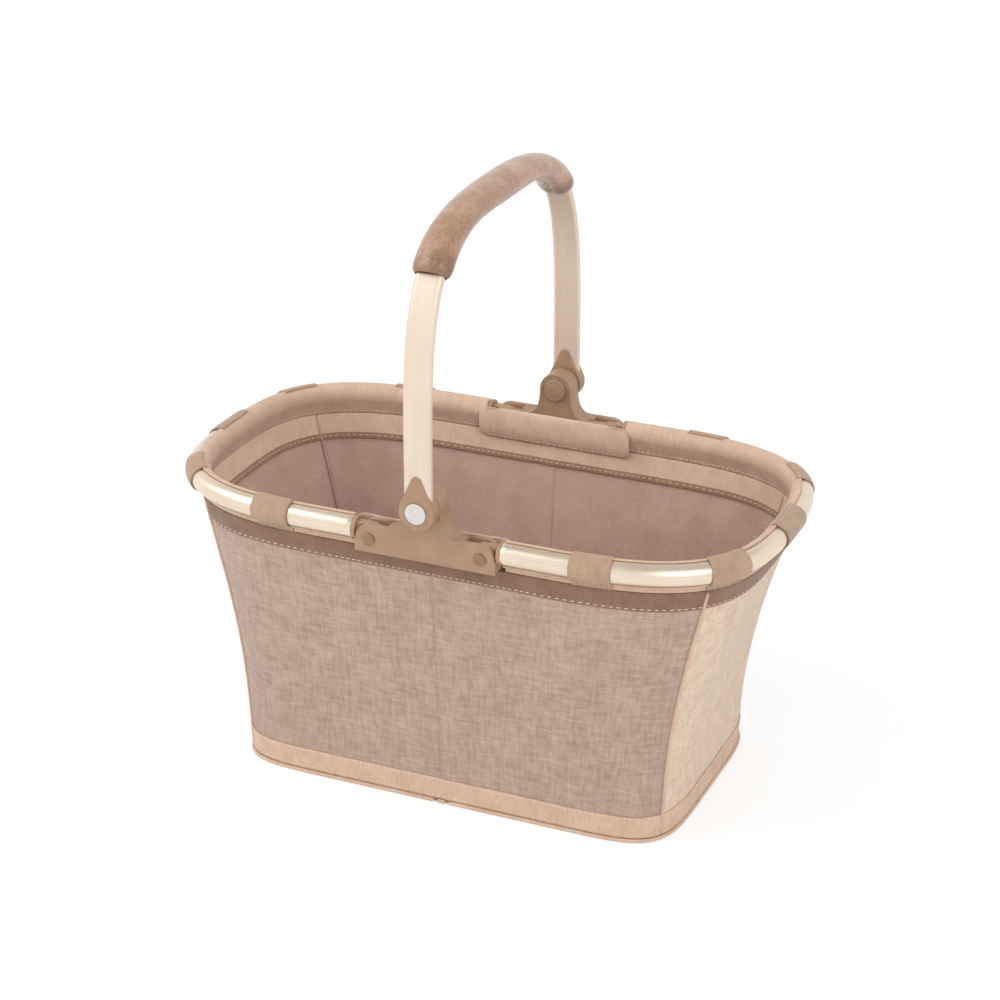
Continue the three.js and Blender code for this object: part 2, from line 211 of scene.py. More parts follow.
class Wire:
    """A socket in a material's node tree. Maths on wires adds Math nodes, and node() adds any other."""

    def __init__(self, tree, socket=None):
        self.tree = tree
        self.socket = socket

    def node(self, kind, settings, inputs, output=0):
        made = self.tree.nodes.new("ShaderNode" + kind)
        for name, value in settings.items():
            setattr(made, name, value)
        for name, value in inputs.items():
            if isinstance(value, Wire):
                self.tree.links.new(value.socket, made.inputs[name])
            else:
                made.inputs[name].default_value = value
        return Wire(self.tree, made.outputs[output])

    def math(self, operation, first, second=0.0):
        return self.node("Math", {"operation": operation}, {0: first, 1: second})

    def __add__(self, other):
        return self.math("ADD", self, other)

    def __sub__(self, other):
        return self.math("SUBTRACT", self, other)

    def __rsub__(self, other):
        return self.math("SUBTRACT", other, self)

    def __mul__(self, other):
        return self.math("MULTIPLY", self, other)

    def __pow__(self, other):
        return self.math("POWER", self, other)

    __radd__ = __add__
    __rmul__ = __mul__

    def stretched(self, x, y, z=1.0):
        return self.node("VectorMath", {"operation": "MULTIPLY"}, {0: self, 1: (x, y, z)})

    def noise(self, scale, detail=2.0):
        return self.node("TexNoise", {}, {"Vector": self, "Scale": scale, "Detail": detail})

    def between(self, low, high):
        """0 below low, 1 above high and a smooth step from one to the other."""
        names = {"Value": self, "From Min": low, "From Max": high}
        return self.node("MapRange", {"interpolation_type": "SMOOTHSTEP"}, names)

    def blend(self, first, second):
        """From the first colour, at 0, to the second, at 1."""
        return self.node("Mix", {"data_type": "RGBA"}, {0: self, 6: first, 7: second}, output=2)


def srgb(red, green, blue):
    """A colour as a picture writes it, from 0 to 255, as the shader takes it."""
    shares = [value / 255 for value in (red, green, blue)]
    return (*[s / 12.92 if s <= 0.04045 else ((s + 0.055) / 1.055) ** 2.4 for s in shares], 1)


def new_finish(name, constants):
    """A material whose shader has these constant sockets, with a wire of its object's coordinates."""
    finish = bpy.data.materials.new(name)
    finish.use_nodes = True
    shader = finish.node_tree.nodes["Principled BSDF"]
    for socket, value in constants.items():
        shader.inputs[socket].default_value = value
    return finish, Wire(finish.node_tree).node("TexCoord", {}, {}, output="Object")


def join_up(finish, wires, height=None, relief=0.0):
    """Links a finish's varying sockets, and a height in its surface that is relief metres deep."""
    tree = finish.node_tree
    shader = tree.nodes["Principled BSDF"]
    if height:
        sockets = {"Height": height, "Distance": relief, "Strength": 1.0}
        wires = {**wires, "Normal": height.node("Bump", {}, sockets)}
    for socket, wire in wires.items():
        tree.links.new(wire.socket, shader.inputs[socket])
    return finish


def champagne_aluminium(name, metallic, gloss, shade, tint):
    """Anodised tube: fine drawing lines along it, and cloudy handling marks in its gloss."""
    finish, place = new_finish(name, {"Metallic": metallic, "Coat Weight": 0.15, "Coat Roughness": 0.25})
    flat = place.node("UVMap", {}, {})
    lines = flat.stretched(40, 3000).noise(1.0, 3.0)
    streaks = flat.stretched(9, 800).noise(1.0, 2.0)
    clouds = place.noise(38, 4.0)
    colour = (lines * 0.3 + streaks * 0.4 + clouds * 0.3).between(0.15, 0.85).blend(shade, tint)
    rough = 1 - gloss + lines * 0.05 + streaks * 0.1 + clouds * 0.05
    return join_up(finish, {"Base Color": colour, "Roughness": rough}, lines, 0.02 * mm)


bright_aluminium = champagne_aluminium(
    "bright_aluminium", metallic=0.85, gloss=0.76, shade=srgb(221, 202, 180), tint=srgb(240, 225, 206)
)


def round_section(radius, length=0, centre=(0, 0)):
    """A round section about a centre. On a cord of a length it closes to a point at both ends."""

    def section(along, around):
        over = max(0, 1 - min(along, 1 - along) * length / radius) if length else 0
        reach = radius * math.sqrt(1 - over**2)
        angle = 2 * math.pi * around
        return centre[0] + reach * math.cos(angle), centre[1] + reach * math.sin(angle)

    return section


def cord(line, level, columns, radius):
    """A round cord along a line."""
    girth = 2 * math.pi * radius
    return closed(swept(line, level, columns, 14, round_section(radius, line.length), girth=girth))


for side in side_signs:
    tube = swept(rim_line, up, 150, 48, round_section(tube_radius), girth=2 * math.pi * tube_radius)
    tube = mirrored(closed(tube), side)
    body, node = f"{side}_frame", f"{side}_rim_tube"
    made = piece(f"{side}_tube", tube, bright_aluminium, body, "champagne_aluminium", node)
    thicken(made, tube_wall)


# Tube plugs
# A moulded brown plastic plug closes each end of a rim tube. Its collar butts against the
# tube, and its tongue reaches into the hinge block and turns on the rim pin.
pin_at = joint_at["right_fold"]
pin_radius = 2.5 * mm
fit_gap = 0.3 * mm
collar_length = 3 * mm
collar_end = tube_start - fit_gap
collar_start = collar_end - collar_length
spigot_radius = tube_radius - tube_wall - fit_gap
spigot_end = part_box("right_back_plug")[1].x
tongue_radius = 9.5 * mm
tongue_thickness = 7 * mm
plastic_rounding = 0.7 * mm


def moulded_plastic(name, shade, tint):
    """Matt moulded plastic: a fine spark-eroded grain, with paler and smoother rubbed spots."""
    finish, place = new_finish(name, {"Specular IOR Level": 0.45})
    grain = place.noise(2300, 2.0)
    rubbed = place.noise(60, 3.0).between(0.4, 0.8)
    colour = (0.12 + grain * 0.4 + rubbed * 0.25).blend(shade, tint)
    rough = 0.48 - rubbed * 0.08 + grain * 0.1
    return join_up(finish, {"Base Color": colour, "Roughness": rough}, grain, 0.05 * mm)


brown_plastic = moulded_plastic("brown_plastic", srgb(150, 118, 91), srgb(186, 154, 126))


def arc(centre, radius, start, stop, steps):
    """Points of an arc in a plane, with its angles in degrees."""
    angles = [math.radians(mix(start, stop, share)) for share in evenly(steps)]
    return [(centre[0] + radius * math.cos(a), centre[1] + radius * math.sin(a)) for a in angles]


def soften(mesh, rounding, angle=35):
    """Rounds every edge that is sharper than the angle."""
    sharp = [edge for edge in mesh.edges if edge.calc_face_angle(0) > math.radians(angle)]
    bmesh.ops.bevel(
        mesh, geom=sharp, offset=rounding, offset_type="OFFSET", segments=3, profile=0.5,
        affect="EDGES", material=-1, clamp_overlap=True,
    )
    return mesh


def pulled(mesh, faces, vec):
    """Extrudes faces and moves them, and gives the faces at the far end."""
    raised = bmesh.ops.extrude_face_region(mesh, geom=faces)["geom"]
    verts = [item for item in raised if isinstance(item, bmesh.types.BMVert)]
    bmesh.ops.translate(mesh, vec=vec, verts=verts)
    return [item for item in raised if isinstance(item, bmesh.types.BMFace)]


def plate(outline, thickness):
    """An outline in X and Y as a plate, half of its thickness on each side of Z 0."""
    mesh = bmesh.new()
    face = mesh.faces.new([mesh.verts.new((x, y, -thickness / 2)) for x, y in outline])
    pulled(mesh, [face], (0, 0, thickness))
    bmesh.ops.recalc_face_normals(mesh, faces=mesh.faces)
    return mesh


def stood_up(mesh, middle):
    """Stands a flat plate up in X and Z, with its middle at a Y."""
    turn = Matrix.Translation((0, middle, 0)) @ Matrix.Rotation(math.pi / 2, 4, "X")
    bmesh.ops.transform(mesh, matrix=turn, verts=mesh.verts)
    return mesh


def lathed(profile, steps=40):
    """A profile of (radius, height) points spun about the Y axis."""
    mesh = bmesh.new()
    verts = [mesh.verts.new((radius, height, 0)) for radius, height in profile]
    edges = [mesh.edges.new(pair) for pair in zip(verts, verts[1:])]
    bmesh.ops.spin(
        mesh, geom=verts + edges, cent=(0, 0, 0), axis=(0, 1, 0),
        angle=2 * math.pi, steps=steps, use_merge=True,
    )
    return closed(mesh)


def moved(mesh, x=0, y=0, z=0):
    bmesh.ops.translate(mesh, vec=(x, y, z), verts=mesh.verts)
    return mesh


def rod(radius, start, stop, x, z):
    """A plain rod along Y, as a cutter."""
    return moved(lathed([(0, start), (radius, start), (radius, stop), (0, stop)]), x=x, z=z)


def carved(mesh, operation, *others):
    """The mesh with others cut from it or joined to it."""
    objects = [new_object("carving", shape) for shape in (mesh, *others)]
    for other in objects[1:]:
        step = objects[0].modifiers.new("Carve", "BOOLEAN")
        step.operation = operation
        step.solver = "EXACT"
        step.object = other
    bpy.context.view_layer.update()
    result = objects[0].evaluated_get(bpy.context.evaluated_depsgraph_get()).to_mesh()
    whole = bmesh.new()
    whole.from_mesh(result)
    for item in objects:
        bpy.data.objects.remove(item)
    return whole


def tube_plug():
    outline = arc((pin_at.x, pin_at.z), tongue_radius, 90, 270, 24)
    outline += [
        (collar_start - fit_gap, pin_at.z - tongue_radius),
        (collar_start + collar_length / 2, rim_end.z - tube_radius / 2),
        (collar_start + collar_length / 2, pin_at.z + tongue_radius),
    ]
    tongue = stood_up(soften(plate(outline, tongue_thickness), plastic_rounding), 0)
    profile = [
        (0, collar_start),
        (tube_radius, collar_start),
        (tube_radius, collar_end),
        (spigot_radius, collar_end),
        (spigot_radius, spigot_end),
        (0, spigot_end),
    ]
    collar = soften(lathed(profile, 48), plastic_rounding / 2)
    turn = Matrix.Translation((0, 0, rim_end.z)) @ Matrix.Rotation(-math.pi / 2, 4, "Z")
    bmesh.ops.transform(collar, matrix=turn, verts=collar.verts)
    whole = carved(tongue, "UNION", collar)
    bore = rod(pin_radius + fit_gap, -tongue_thickness, tongue_thickness, pin_at.x, pin_at.z)
    return moved(carved(whole, "DIFFERENCE", bore), y=rim_half_width)


for side in side_signs:
    for face in face_signs:
        plug = mirrored(tube_plug(), side, face)
        body, node = f"{side}_frame", f"{side}_{face}_plug"
        even_shading(piece(f"{side}_{face}_tongue", plug, brown_plastic, body, "brown_plastic", node))


# Hinge blocks
# A solid moulded block in the middle of the front and of the back. A fork at each end takes a
# tube's tongue, and the lug on top carries the foot of the handle.
block_low, block_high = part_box("back_hinge_block")
pivot_at = joint_at["handle_swing"]
pivot_radius = 4 * mm
block_thickness = block_high.y - block_low.y
block_round = 11 * mm
lug_radius = block_high.z - pivot_at.z
lug_flare = 11 * mm
fork_gap = 0.8 * mm
fork_width = tongue_thickness + fork_gap
fork_root = pin_at.x - (rim_end.z - pin_at.z) - tube_radius - fork_gap
panel_inset = 2.4 * mm
panel_depth = 0.7 * mm


def curve_to(start, control, stop, steps):
    """Points of a quadratic curve, after its start."""
    start, control, stop = Vector(start), Vector(control), Vector(stop)
    points = [start.lerp(control, s).lerp(control.lerp(stop, s), s) for s in evenly(steps)]
    return [tuple(point) for point in points[1:]]


def hinge_block():
    """The block between two mirrored cheeks, drawn about Y 0 and then moved to the back of the rim."""
    top = pin_at.z + block_round
    shoulder = pin_at.z - 1 * mm
    right = [(block_high.x, block_low.z), (block_high.x, shoulder)]
    right += arc((pin_at.x, pin_at.z), block_round, 0, 90, 14)
    right += [(lug_radius + lug_flare, top)]
    right += curve_to(right[-1], (lug_radius, top), (lug_radius, pivot_at.z), 12)
    right += arc((0, pivot_at.z), lug_radius, 0, 90, 14)[1:]
    left = [(-x, z) for x, z in reversed(right[:-1])]
    mesh = bmesh.new()
    outer = [mesh.verts.new((x, block_thickness / 2, z)) for x, z in right + left]
    mesh.faces.new(outer)
    for x in (-fork_root, fork_root):
        everything = [*mesh.verts, *mesh.edges, *mesh.faces]
        bmesh.ops.bisect_plane(mesh, geom=everything, plane_co=(x, 0, 0), plane_no=(1, 0, 0))
    panel = next(face for face in mesh.faces if abs(face.calc_center_median().x) < fork_root / 2)
    cheeks = pulled(mesh, list(mesh.faces), (0, (fork_width - block_thickness) / 2, 0))
    core = [face for face in cheeks if abs(face.calc_center_median().x) < fork_root / 2]
    ends = pulled(mesh, core, (0, -fork_width / 2, 0))
    bmesh.ops.delete(mesh, geom=ends, context="FACES_ONLY")
    bmesh.ops.inset_region(mesh, faces=[panel], thickness=panel_inset, depth=-panel_depth)
    everything = [*mesh.verts, *mesh.edges, *mesh.faces]
    bmesh.ops.mirror(mesh, geom=everything, axis="Y", merge_dist=10 * weld_gap)
    bmesh.ops.remove_doubles(mesh, verts=mesh.verts, dist=weld_gap)
    bmesh.ops.dissolve_limit(mesh, angle_limit=math.radians(1), verts=mesh.verts, edges=mesh.edges)
    bmesh.ops.recalc_face_normals(mesh, faces=mesh.faces)
    moved(soften(mesh, plastic_rounding, angle=40), y=rim_half_width)
    holes = [(pivot_radius, 0, pivot_at.z)] + [(pin_radius, x, pin_at.z) for x in (-pin_at.x, pin_at.x)]
    bores = [rod(radius + fit_gap, block_low.y - mm, block_high.y + mm, x, z) for radius, x, z in holes]
    return carved(mesh, "DIFFERENCE", *bores)


for face in face_signs:
    block = mirrored(hinge_block(), face=face)
    made = piece(f"{face}_block", block, brown_plastic, "root", "brown_plastic", f"{face}_hinge_block")
    even_shading(made)


# Rim pins
# Steel rivets through the blocks and the tongues, bronzed to go with the plastic. Their heads
# are pressed to low domes with a dimple from the setting punch.
pin_head_radius = 4.6 * mm
pin_head_height = 1.5 * mm


def rivet_steel(name, shade, tint):
    """Plated steel: fine specks and a slightly blotched gloss."""
    finish, place = new_finish(name, {"Metallic": 0.9})
    specks = place.noise(1500, 3.0)
    clouds = place.noise(260, 2.0)
    colour = (specks * 0.4 + clouds * 0.6).blend(shade, tint)
    return join_up(finish, {"Base Color": colour, "Roughness": 0.28 + clouds * 0.2}, specks, 0.02 * mm)


bronzed_steel = rivet_steel("bronzed_steel", srgb(134, 106, 80), srgb(172, 142, 112))


def rivet(radius, head_radius, head_height, start, stop):
    """A rivet along Y: a shank, and at each end a domed head with a dimple."""
    dimple = 0.4 * head_radius
    half = [(0, -0.75 * head_height), (0.6 * dimple, -0.78 * head_height), (dimple, -head_height)]
    for share in evenly(6)[1:]:
        half.append((mix(dimple, head_radius, share), -head_height * math.sqrt(1 - 0.8 * share**2)))
    half += [(head_radius, 0), (radius, 0)]
    low = [(r, start + height) for r, height in half]
    high = [(r, stop - height) for r, height in reversed(half)]
    return lathed(low + high)


pin_span = (block_low.y - fit_gap, block_high.y + fit_gap)
for face in face_signs:
    for side in side_signs:
        pin = rivet(pin_radius, pin_head_radius, pin_head_height, *pin_span)
        pin = mirrored(moved(pin, x=pin_at.x, z=pin_at.z), side, face)
        piece(f"{face}_{side}_rivet", pin, bronzed_steel, "root", "rivet_steel", f"{face}_{side}_rim_pin")


# Rim hems
# The cloth's top edge is sewn to a sleeve round each rim tube. On the outside the sleeve is
# cut away between loops, so that the bright tube shows, and its lips run down to the walls.
hem_thickness = 1.1 * mm
hem_radius = tube_radius + fit_gap + hem_thickness / 2
flange_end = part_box("right_rim_hem")[0].z + 0.2 * mm - rim_end.z
wall_inset = 3 * mm
loop_lift = 0.95 * mm
side_loops = [126 * mm, 224 * mm]
loop_length = 30 * mm
end_loop_length = 40 * mm
lip_out = -wall_inset + 0.7 * mm
gather_length = 9 * mm
fine_gather_length = 5.3 * mm
sleeve_gather = 0.16 * mm
lip_gather = 0.1 * mm
loop_gather = 0.08 * mm
bead_radius = 0.8 * mm
stitch_length = 3.4 * mm
stitch_pitch = 4.6 * mm
stitch_radius = 0.45 * mm
stitch_margin = 2.4 * mm
loop_stitch_height = 2.5 * mm
loop_stitch_margin = 2 * mm

# Angles round the tube's section, in degrees upwards from straight out of the basket.
hem_top = 98
lip_edge = 288
lip_turn = 266
loop_lap = 15
loop_middle = 5
loop_flat = 70
loop_ease = 20
loop_inset = 14
flank_foot = Vector((-wall_inset - 1.6 * mm, flange_end))
foot_angle = math.degrees(math.atan2(flank_foot.y, flank_foot.x)) + 360
flank_start = foot_angle - math.degrees(math.acos(hem_radius / flank_foot.length))


def ribbed_tape(name, shade, tint):
    """Woven binding tape: close ribs across it, with uneven yarn and a dusty bloom."""
    constants = {"Sheen Weight": 0.2, "Sheen Roughness": 0.5, "Specular IOR Level": 0.25}
    finish, place = new_finish(name, constants)
    flat = place.node("UVMap", {}, {})
    along = flat.node("SeparateXYZ", {}, {0: flat})
    ribs = along.math("ABSOLUTE", along.math("SINE", along * (math.pi / (1.1 * mm))))
    yarn = flat.stretched(700, 90).noise(1.0, 3.0)
    patches = place.noise(70, 4.0)
    colour = (ribs * 0.25 + yarn * 0.35 + patches * 0.4).between(0.25, 0.8).blend(shade, tint)
    wires = {"Base Color": colour, "Roughness": 0.95 - ribs * 0.1}
    return join_up(finish, wires, ribs * 0.7 + yarn * 0.3, 0.25 * mm)


hem_tape = ribbed_tape("hem_tape", srgb(194, 163, 139), srgb(222, 194, 170))
loop_tape = ribbed_tape("loop_tape", srgb(160, 132, 109), srgb(189, 161, 136))


def sewing_thread(name, shade, tint):
    """Twisted polyester thread with a little lustre."""
    finish, place = new_finish(name, {"Sheen Weight": 0.3})
    twist = place.noise(1900, 2.0)
    wires = {"Base Color": twist.blend(shade, tint), "Roughness": 0.5 + twist * 0.25}
    return join_up(finish, wires, twist, 0.1 * mm)


pale_thread = sewing_thread("pale_thread", srgb(196, 168, 142), srgb(232, 209, 184))


def stitches(spots):
    """A thread that dips into the cloth at both ends, at each spot of (place, along, outwards)."""
    mesh = bmesh.new()
    for spot, along, outwards in spots:
        across = outwards.cross(along).normalized()
        axes = Matrix((along.normalized(), across, outwards.normalized())).transposed().to_4x4()
        shape = Matrix.Diagonal((stitch_length / 2, stitch_radius, stitch_radius, 1))
        bmesh.ops.create_uvsphere(
            mesh, u_segments=8, v_segments=5, radius=1, matrix=Matrix.Translation(spot) @ axes @ shape
        )
    return mesh


def ring_point(angle, radius):
    return radius * math.cos(math.radians(angle)), radius * math.sin(math.radians(angle))


def path_of(points):
    return Line([Vector(point) for point in points])


sleeve_arc = arc((0, 0), hem_radius, hem_top, flank_start, 28)
sleeve_end = Vector(sleeve_arc[-1])
sleeve_path = path_of(sleeve_arc + [sleeve_end.lerp(flank_foot, share) for share in evenly(12)[1:]])
lip_path = path_of(
    arc((0, 0), hem_radius, lip_edge, lip_turn, 8)
    + [(lip_out, mix(-hem_radius, flange_end, share)) for share in evenly(6)[1:]]
)


def loop_point(angle):
    """A loop lies close on the bare tube, and rises over the sleeve and the lip at its ends."""
    over = min(1, max(0, abs(angle - loop_middle) - loop_flat) / loop_ease)
    return ring_point(angle, hem_radius + loop_lift * over)


loop_end = lip_edge - 360 - loop_inset
loop_arc = [loop_point(mix(hem_top + loop_lap, loop_end, share)) for share in evenly(44)]
loop_path = path_of(
    loop_arc
    + [(lip_out + loop_lift, mix(loop_arc[-1][1] - mm, flange_end, share)) for share in evenly(5)]
)


def gathered(path, start, stop, depth):
    """A section that follows a path, with soft gathers of the cloth along the rim."""

    def section(along, around):
        distance = mix(start, stop, along)
        out, rise = path.point(around * path.length)
        wave = math.sin(distance / gather_length) + 0.7 * math.sin(distance / fine_gather_length + 1.3)
        swell = 1 + depth * math.sin(math.pi * around) * wave / math.hypot(out, rise)
        return out * swell, rise * swell

    return section


def hem_strip(path, start, stop, columns, rows, depth):
    section = gathered(path, start, stop, depth)
    return swept(rim_line, up, columns, rows, section, (start, stop), path.length)


def joined(*meshes):
    """Several meshes as one."""
    whole = bmesh.new()
    whole.loops.layers.uv.new("UVMap")
    for mesh in meshes:
        data = bpy.data.meshes.new("part")
        mesh.to_mesh(data)
        mesh.free()
        whole.from_mesh(data)
        bpy.data.meshes.remove(data)
    return whole


rim_middle = rim_line.length / 2
loop_spans = [(rim_middle - end_loop_length / 2, rim_middle + end_loop_length / 2)]
for middle in side_loops:
    first = middle - tube_start - loop_length / 2
    loop_spans.append((first, first + loop_length))
    loop_spans.append((rim_line.length - first - loop_length, rim_line.length - first))


def rim_stitch_spots(distances, place, slope):
    """Stitches along the rim, at a place in the hem's section and on the side that its slope gives."""
    spots = []
    for distance in distances:
        direction = rim_line.direction(distance)
        away = direction.cross(up)
        outwards = away * slope.y - up * slope.x
        surface = rim_line.point(distance) + away * place.x + up * place.y + outwards * hem_thickness / 2
        spots.append((surface, direction, outwards))
    return spots


flank_seam = sleeve_path.length - stitch_margin
flank_row = [(step + 0.5) * stitch_pitch for step in range(int(rim_line.length / stitch_pitch))]
hem_spots = rim_stitch_spots(flank_row, sleeve_path.point(flank_seam), sleeve_path.direction(flank_seam))
loop_seam = Vector((lip_out + loop_lift, flange_end + loop_stitch_height))
for start, stop in loop_spans:
    row_ends = (start + loop_stitch_margin, stop - loop_stitch_margin)
    hem_spots += rim_stitch_spots([mix(*row_ends, share) for share in evenly(6)], loop_seam, Vector((0, 1)))

bead_section = round_section(bead_radius, centre=ring_point(hem_top, hem_radius))
for side in side_signs:
    body = f"{side}_frame"
    ends = (fit_gap, rim_line.length - fit_gap)
    sleeve = hem_strip(sleeve_path, *ends, 220, 46, sleeve_gather)
    lip = hem_strip(lip_path, *ends, 220, 12, lip_gather)
    bmesh.ops.reverse_faces(lip, faces=lip.faces)
    hem = mirrored(joined(sleeve, lip), side)
    made_hem = piece(f"{side}_hem", hem, hem_tape, body, "hem_cloth", f"{side}_rim_hem")
    thicken(made_hem, hem_thickness, 0)
    loops = joined(*[hem_strip(loop_path, *span, 14, 48, loop_gather) for span in loop_spans])
    made_loops = piece(f"{side}_hem_loops", mirrored(loops, side), loop_tape, body, "hem_cloth")
    thicken(made_loops, hem_thickness, 0)
    sewn = mirrored(stitches(hem_spots), side)
    made_sewn = piece(f"{side}_hem_stitches", sewn, pale_thread, body, "hem_cloth")
    bead = closed(swept(rim_line, up, 220, 12, bead_section, ends, 2 * math.pi * bead_radius))
    made_bead = piece(f"{side}_hem_edge", mirrored(bead, side), hem_tape, body, "hem_cloth")


# Block covers
# A padded patch of tape on the inside of each hinge block, so that the band runs on past the hinge. Its
# tape is painted paler than the hem's: painted light that offsets the shade on its downward slope. It is
# glued on over the rivets, laps over the hems' ends and is stitched along its foot.
cover_reach = tube_start + 5 * mm
cover_corner = 9 * mm
cover_foot_corner = 5 * mm
cover_clear = hem_radius + 1.45 * mm
cover_ease = 8 * mm
cover_row_start = 0.04
# Painted light: paler than the hem tape, to cancel the shade on the cover's downward-facing flank.
cover_painted_light_tape = ribbed_tape("cover_painted_light_tape", srgb(206, 175, 151), srgb(234, 206, 182))
block_out = block_low.y - rim_half_width
block_top = pin_at.z + block_round - rim_end.z

# The cover's section, out and up from the rim's line: over the block's top edge, then in millimetres.
cover_section = [
    (-11.2, 2.6), (-11.6, -2.0), (-11.5, -7.0), (-10.8, -11.5), (-9.6, -15.2), (-8.2, -17.8), (-7.0, -19.6)
]
cover_path = path_of(
    [(block_out - 0.7 * mm, block_top - 0.4 * mm), (block_out - 1.9 * mm, block_top - 1.4 * mm)]
    + [(out * mm, rise * mm) for out, rise in cover_section]
)
cover_head = cover_path.points[0].y
cover_foot = cover_path.points[-1].y


def corner_inset(to_edge, radius):
    """How far a rounded corner draws a patch's end in, at a distance from its edge."""
    over = max(0, radius - to_edge)
    return radius - math.sqrt(max(0, radius**2 - over**2))


def cover_place(across, rise):
    """A point of the cover's middle surface. Near its ends it keeps clear of the hems that turn there."""
    out, height = cover_path.point(rise * cover_path.length)
    inset = corner_inset(cover_head - height, cover_corner)
    inset += corner_inset(height - cover_foot, cover_foot_corner)
    along = (2 * across - 1) * (cover_reach - inset)
    near_end = min(1, max(0, abs(along) - pin_at.x) / cover_ease)
    if height > -hem_radius:
        out = mix(out, min(out, -cover_clear), near_end)
    return Vector((along, rim_half_width + out, rim_end.z + height))


def cover_stitch_spots():
    """A row of stitches along the cover's foot."""
    distance = cover_path.length - stitch_margin
    slope = cover_path.direction(distance)
    inwards = Vector((0, slope.y, -slope.x))
    count = int(2 * (cover_reach - cover_foot_corner) / stitch_pitch)
    spots = []
    for step in range(count):
        across = mix(cover_row_start, 1 - cover_row_start, (step + 0.5) / count)
        surface = cover_place(across, distance / cover_path.length)
        spots.append((surface + inwards * hem_thickness / 2, Vector((1, 0, 0)), inwards))
    return spots


cover_cut = (2 * cover_reach, cover_path.length)
for face in face_signs:
    cover = mirrored(closed(bent_sheet(76, 32, cover_place, cover_cut)), face=face)
    made_cover = piece(f"{face}_block_cover", cover, cover_painted_light_tape, "root", "hem_cloth")
    thicken(made_cover, hem_thickness, 0)
    sewn = mirrored(stitches(cover_stitch_spots()), face=face)
    made_sewn = piece(f"{face}_cover_stitches", sewn, pale_thread, "root", "hem_cloth")


# Cloth walls
# The front and the back are of padded taupe cloth, each in two halves that meet at a crease in
# the middle, and the ends are of paler cloth. All have a rosy brown lining.
panel_low, panel_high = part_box("back_right_panel")
wall_bottom = panel_low.z
wall_top = panel_high.z
wall_height = wall_top - wall_bottom
top_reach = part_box("right_end_panel")[1].x
top_half_width = panel_high.y
base_low, base_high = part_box("right_bottom_panel")
base_reach = base_high.x
base_half_width = base_high.y
base_power = 5.5
end_bow = 11 * mm
side_bow = 2.5 * mm
seam_turn = 42 / 90
cloth_thickness = 1.8 * mm
wall_step = 3 * mm
wall_rows = 70
wall_chords = 800
cloth_top = wall_top - 0.9 * mm
seam_gap = 0.5 * mm
seam_ease = 25 * mm
ripple_depth = 0.45 * mm
ripple_length = 13.5 * mm
short_ripple_length = 7.9 * mm
pucker_depth = 0.12 * mm
pucker_length = 2.3 * mm
short_pucker_length = 1.55 * mm
top_pucker_reach = 9 * mm
bottom_pucker_reach = 12 * mm
crease_depth = 0.4 * mm
crease_width = 3.2 * mm
fold_tuck = math.radians(14)
fold_gap = 12.5 * mm


def wall_point(turn, rise):
    """A point of a wall's outer face, on the right half."""
    bow = math.sin(math.pi * rise)
    reach = mix(base_reach, top_reach, rise) - end_bow * bow
    half_width = mix(base_half_width, top_half_width, rise) - side_bow * bow
    flat = half_oval(side_straight, reach, half_width, mix(base_power, rim_power, rise), turn)
    return flat + up * mix(wall_bottom, wall_top, rise)


def wall_outwards(turn, rise):
    """The direction out of a wall's outer face."""
    small = 0.002
    along = wall_point(turn + small, rise) - wall_point(turn - small, rise)
    upwards = wall_point(turn, rise + small) - wall_point(turn, rise - small)
    return along.cross(upwards).normalized()


wall_line = Line([wall_point(mix(2, 0, share), 0.5) for share in evenly(wall_chords)])


def wall_turn(distance):
    """The turn at a distance round the wall from the middle of the long side, half way up."""
    return mix(2, 0, wall_line.share(distance) / wall_chords)


quarter = wall_line.length
distances = [quarter * share for share in evenly(2000)]
seam_distance = next(distance for distance in distances if wall_turn(distance) <= seam_turn)


def slack(distance, rise, phase):
    """How far the cloth stands out: slow ripples, puckers at its seams and the crease in the middle."""
    held = math.sin(math.pi * min(max(rise, 0), 1))
    seam = min(1, abs(abs(distance) - seam_distance) / seam_ease)
    soft = seam * seam * (3 - 2 * seam)
    ripple = math.sin(distance / ripple_length + phase + 1.1 * rise)
    ripple += 0.7 * math.sin(distance / short_ripple_length - 1.8 * phase + 2.7 * rise)
    pucker = math.sin(distance / pucker_length + phase) + 0.6 * math.sin(distance / short_pucker_length)
    pucker *= (
        math.exp(-(1 - rise) * wall_height / top_pucker_reach)
        + math.exp(-rise * wall_height / bottom_pucker_reach)
    )
    crease = crease_depth * math.exp(-((distance / crease_width) ** 2))
    return (ripple_depth * ripple * held + pucker_depth * pucker) * soft - crease


def to_quarter(point, side, face):
    return Vector((point.x * side_signs[side], point.y * face_signs[face], point.z))


def cloth_point(distance, height, lift, side, face):
    """A point lift metres outside a wall, at a distance from its middle. Without a face it is on an end."""
    rise = (height - wall_bottom) / wall_height
    if face:
        turn = wall_turn(distance)
        sway = slack(distance * side_signs[side], rise, 1.0 + face_signs[face])
    else:
        turn = math.copysign(wall_turn(quarter - abs(distance)), distance)
        sway = slack(math.copysign(quarter, distance) - distance, rise, 3.3 + side_signs[side])
    point = wall_point(turn, rise) + wall_outwards(turn, rise) * (sway + lift)
    return to_quarter(point, side, face or "back")


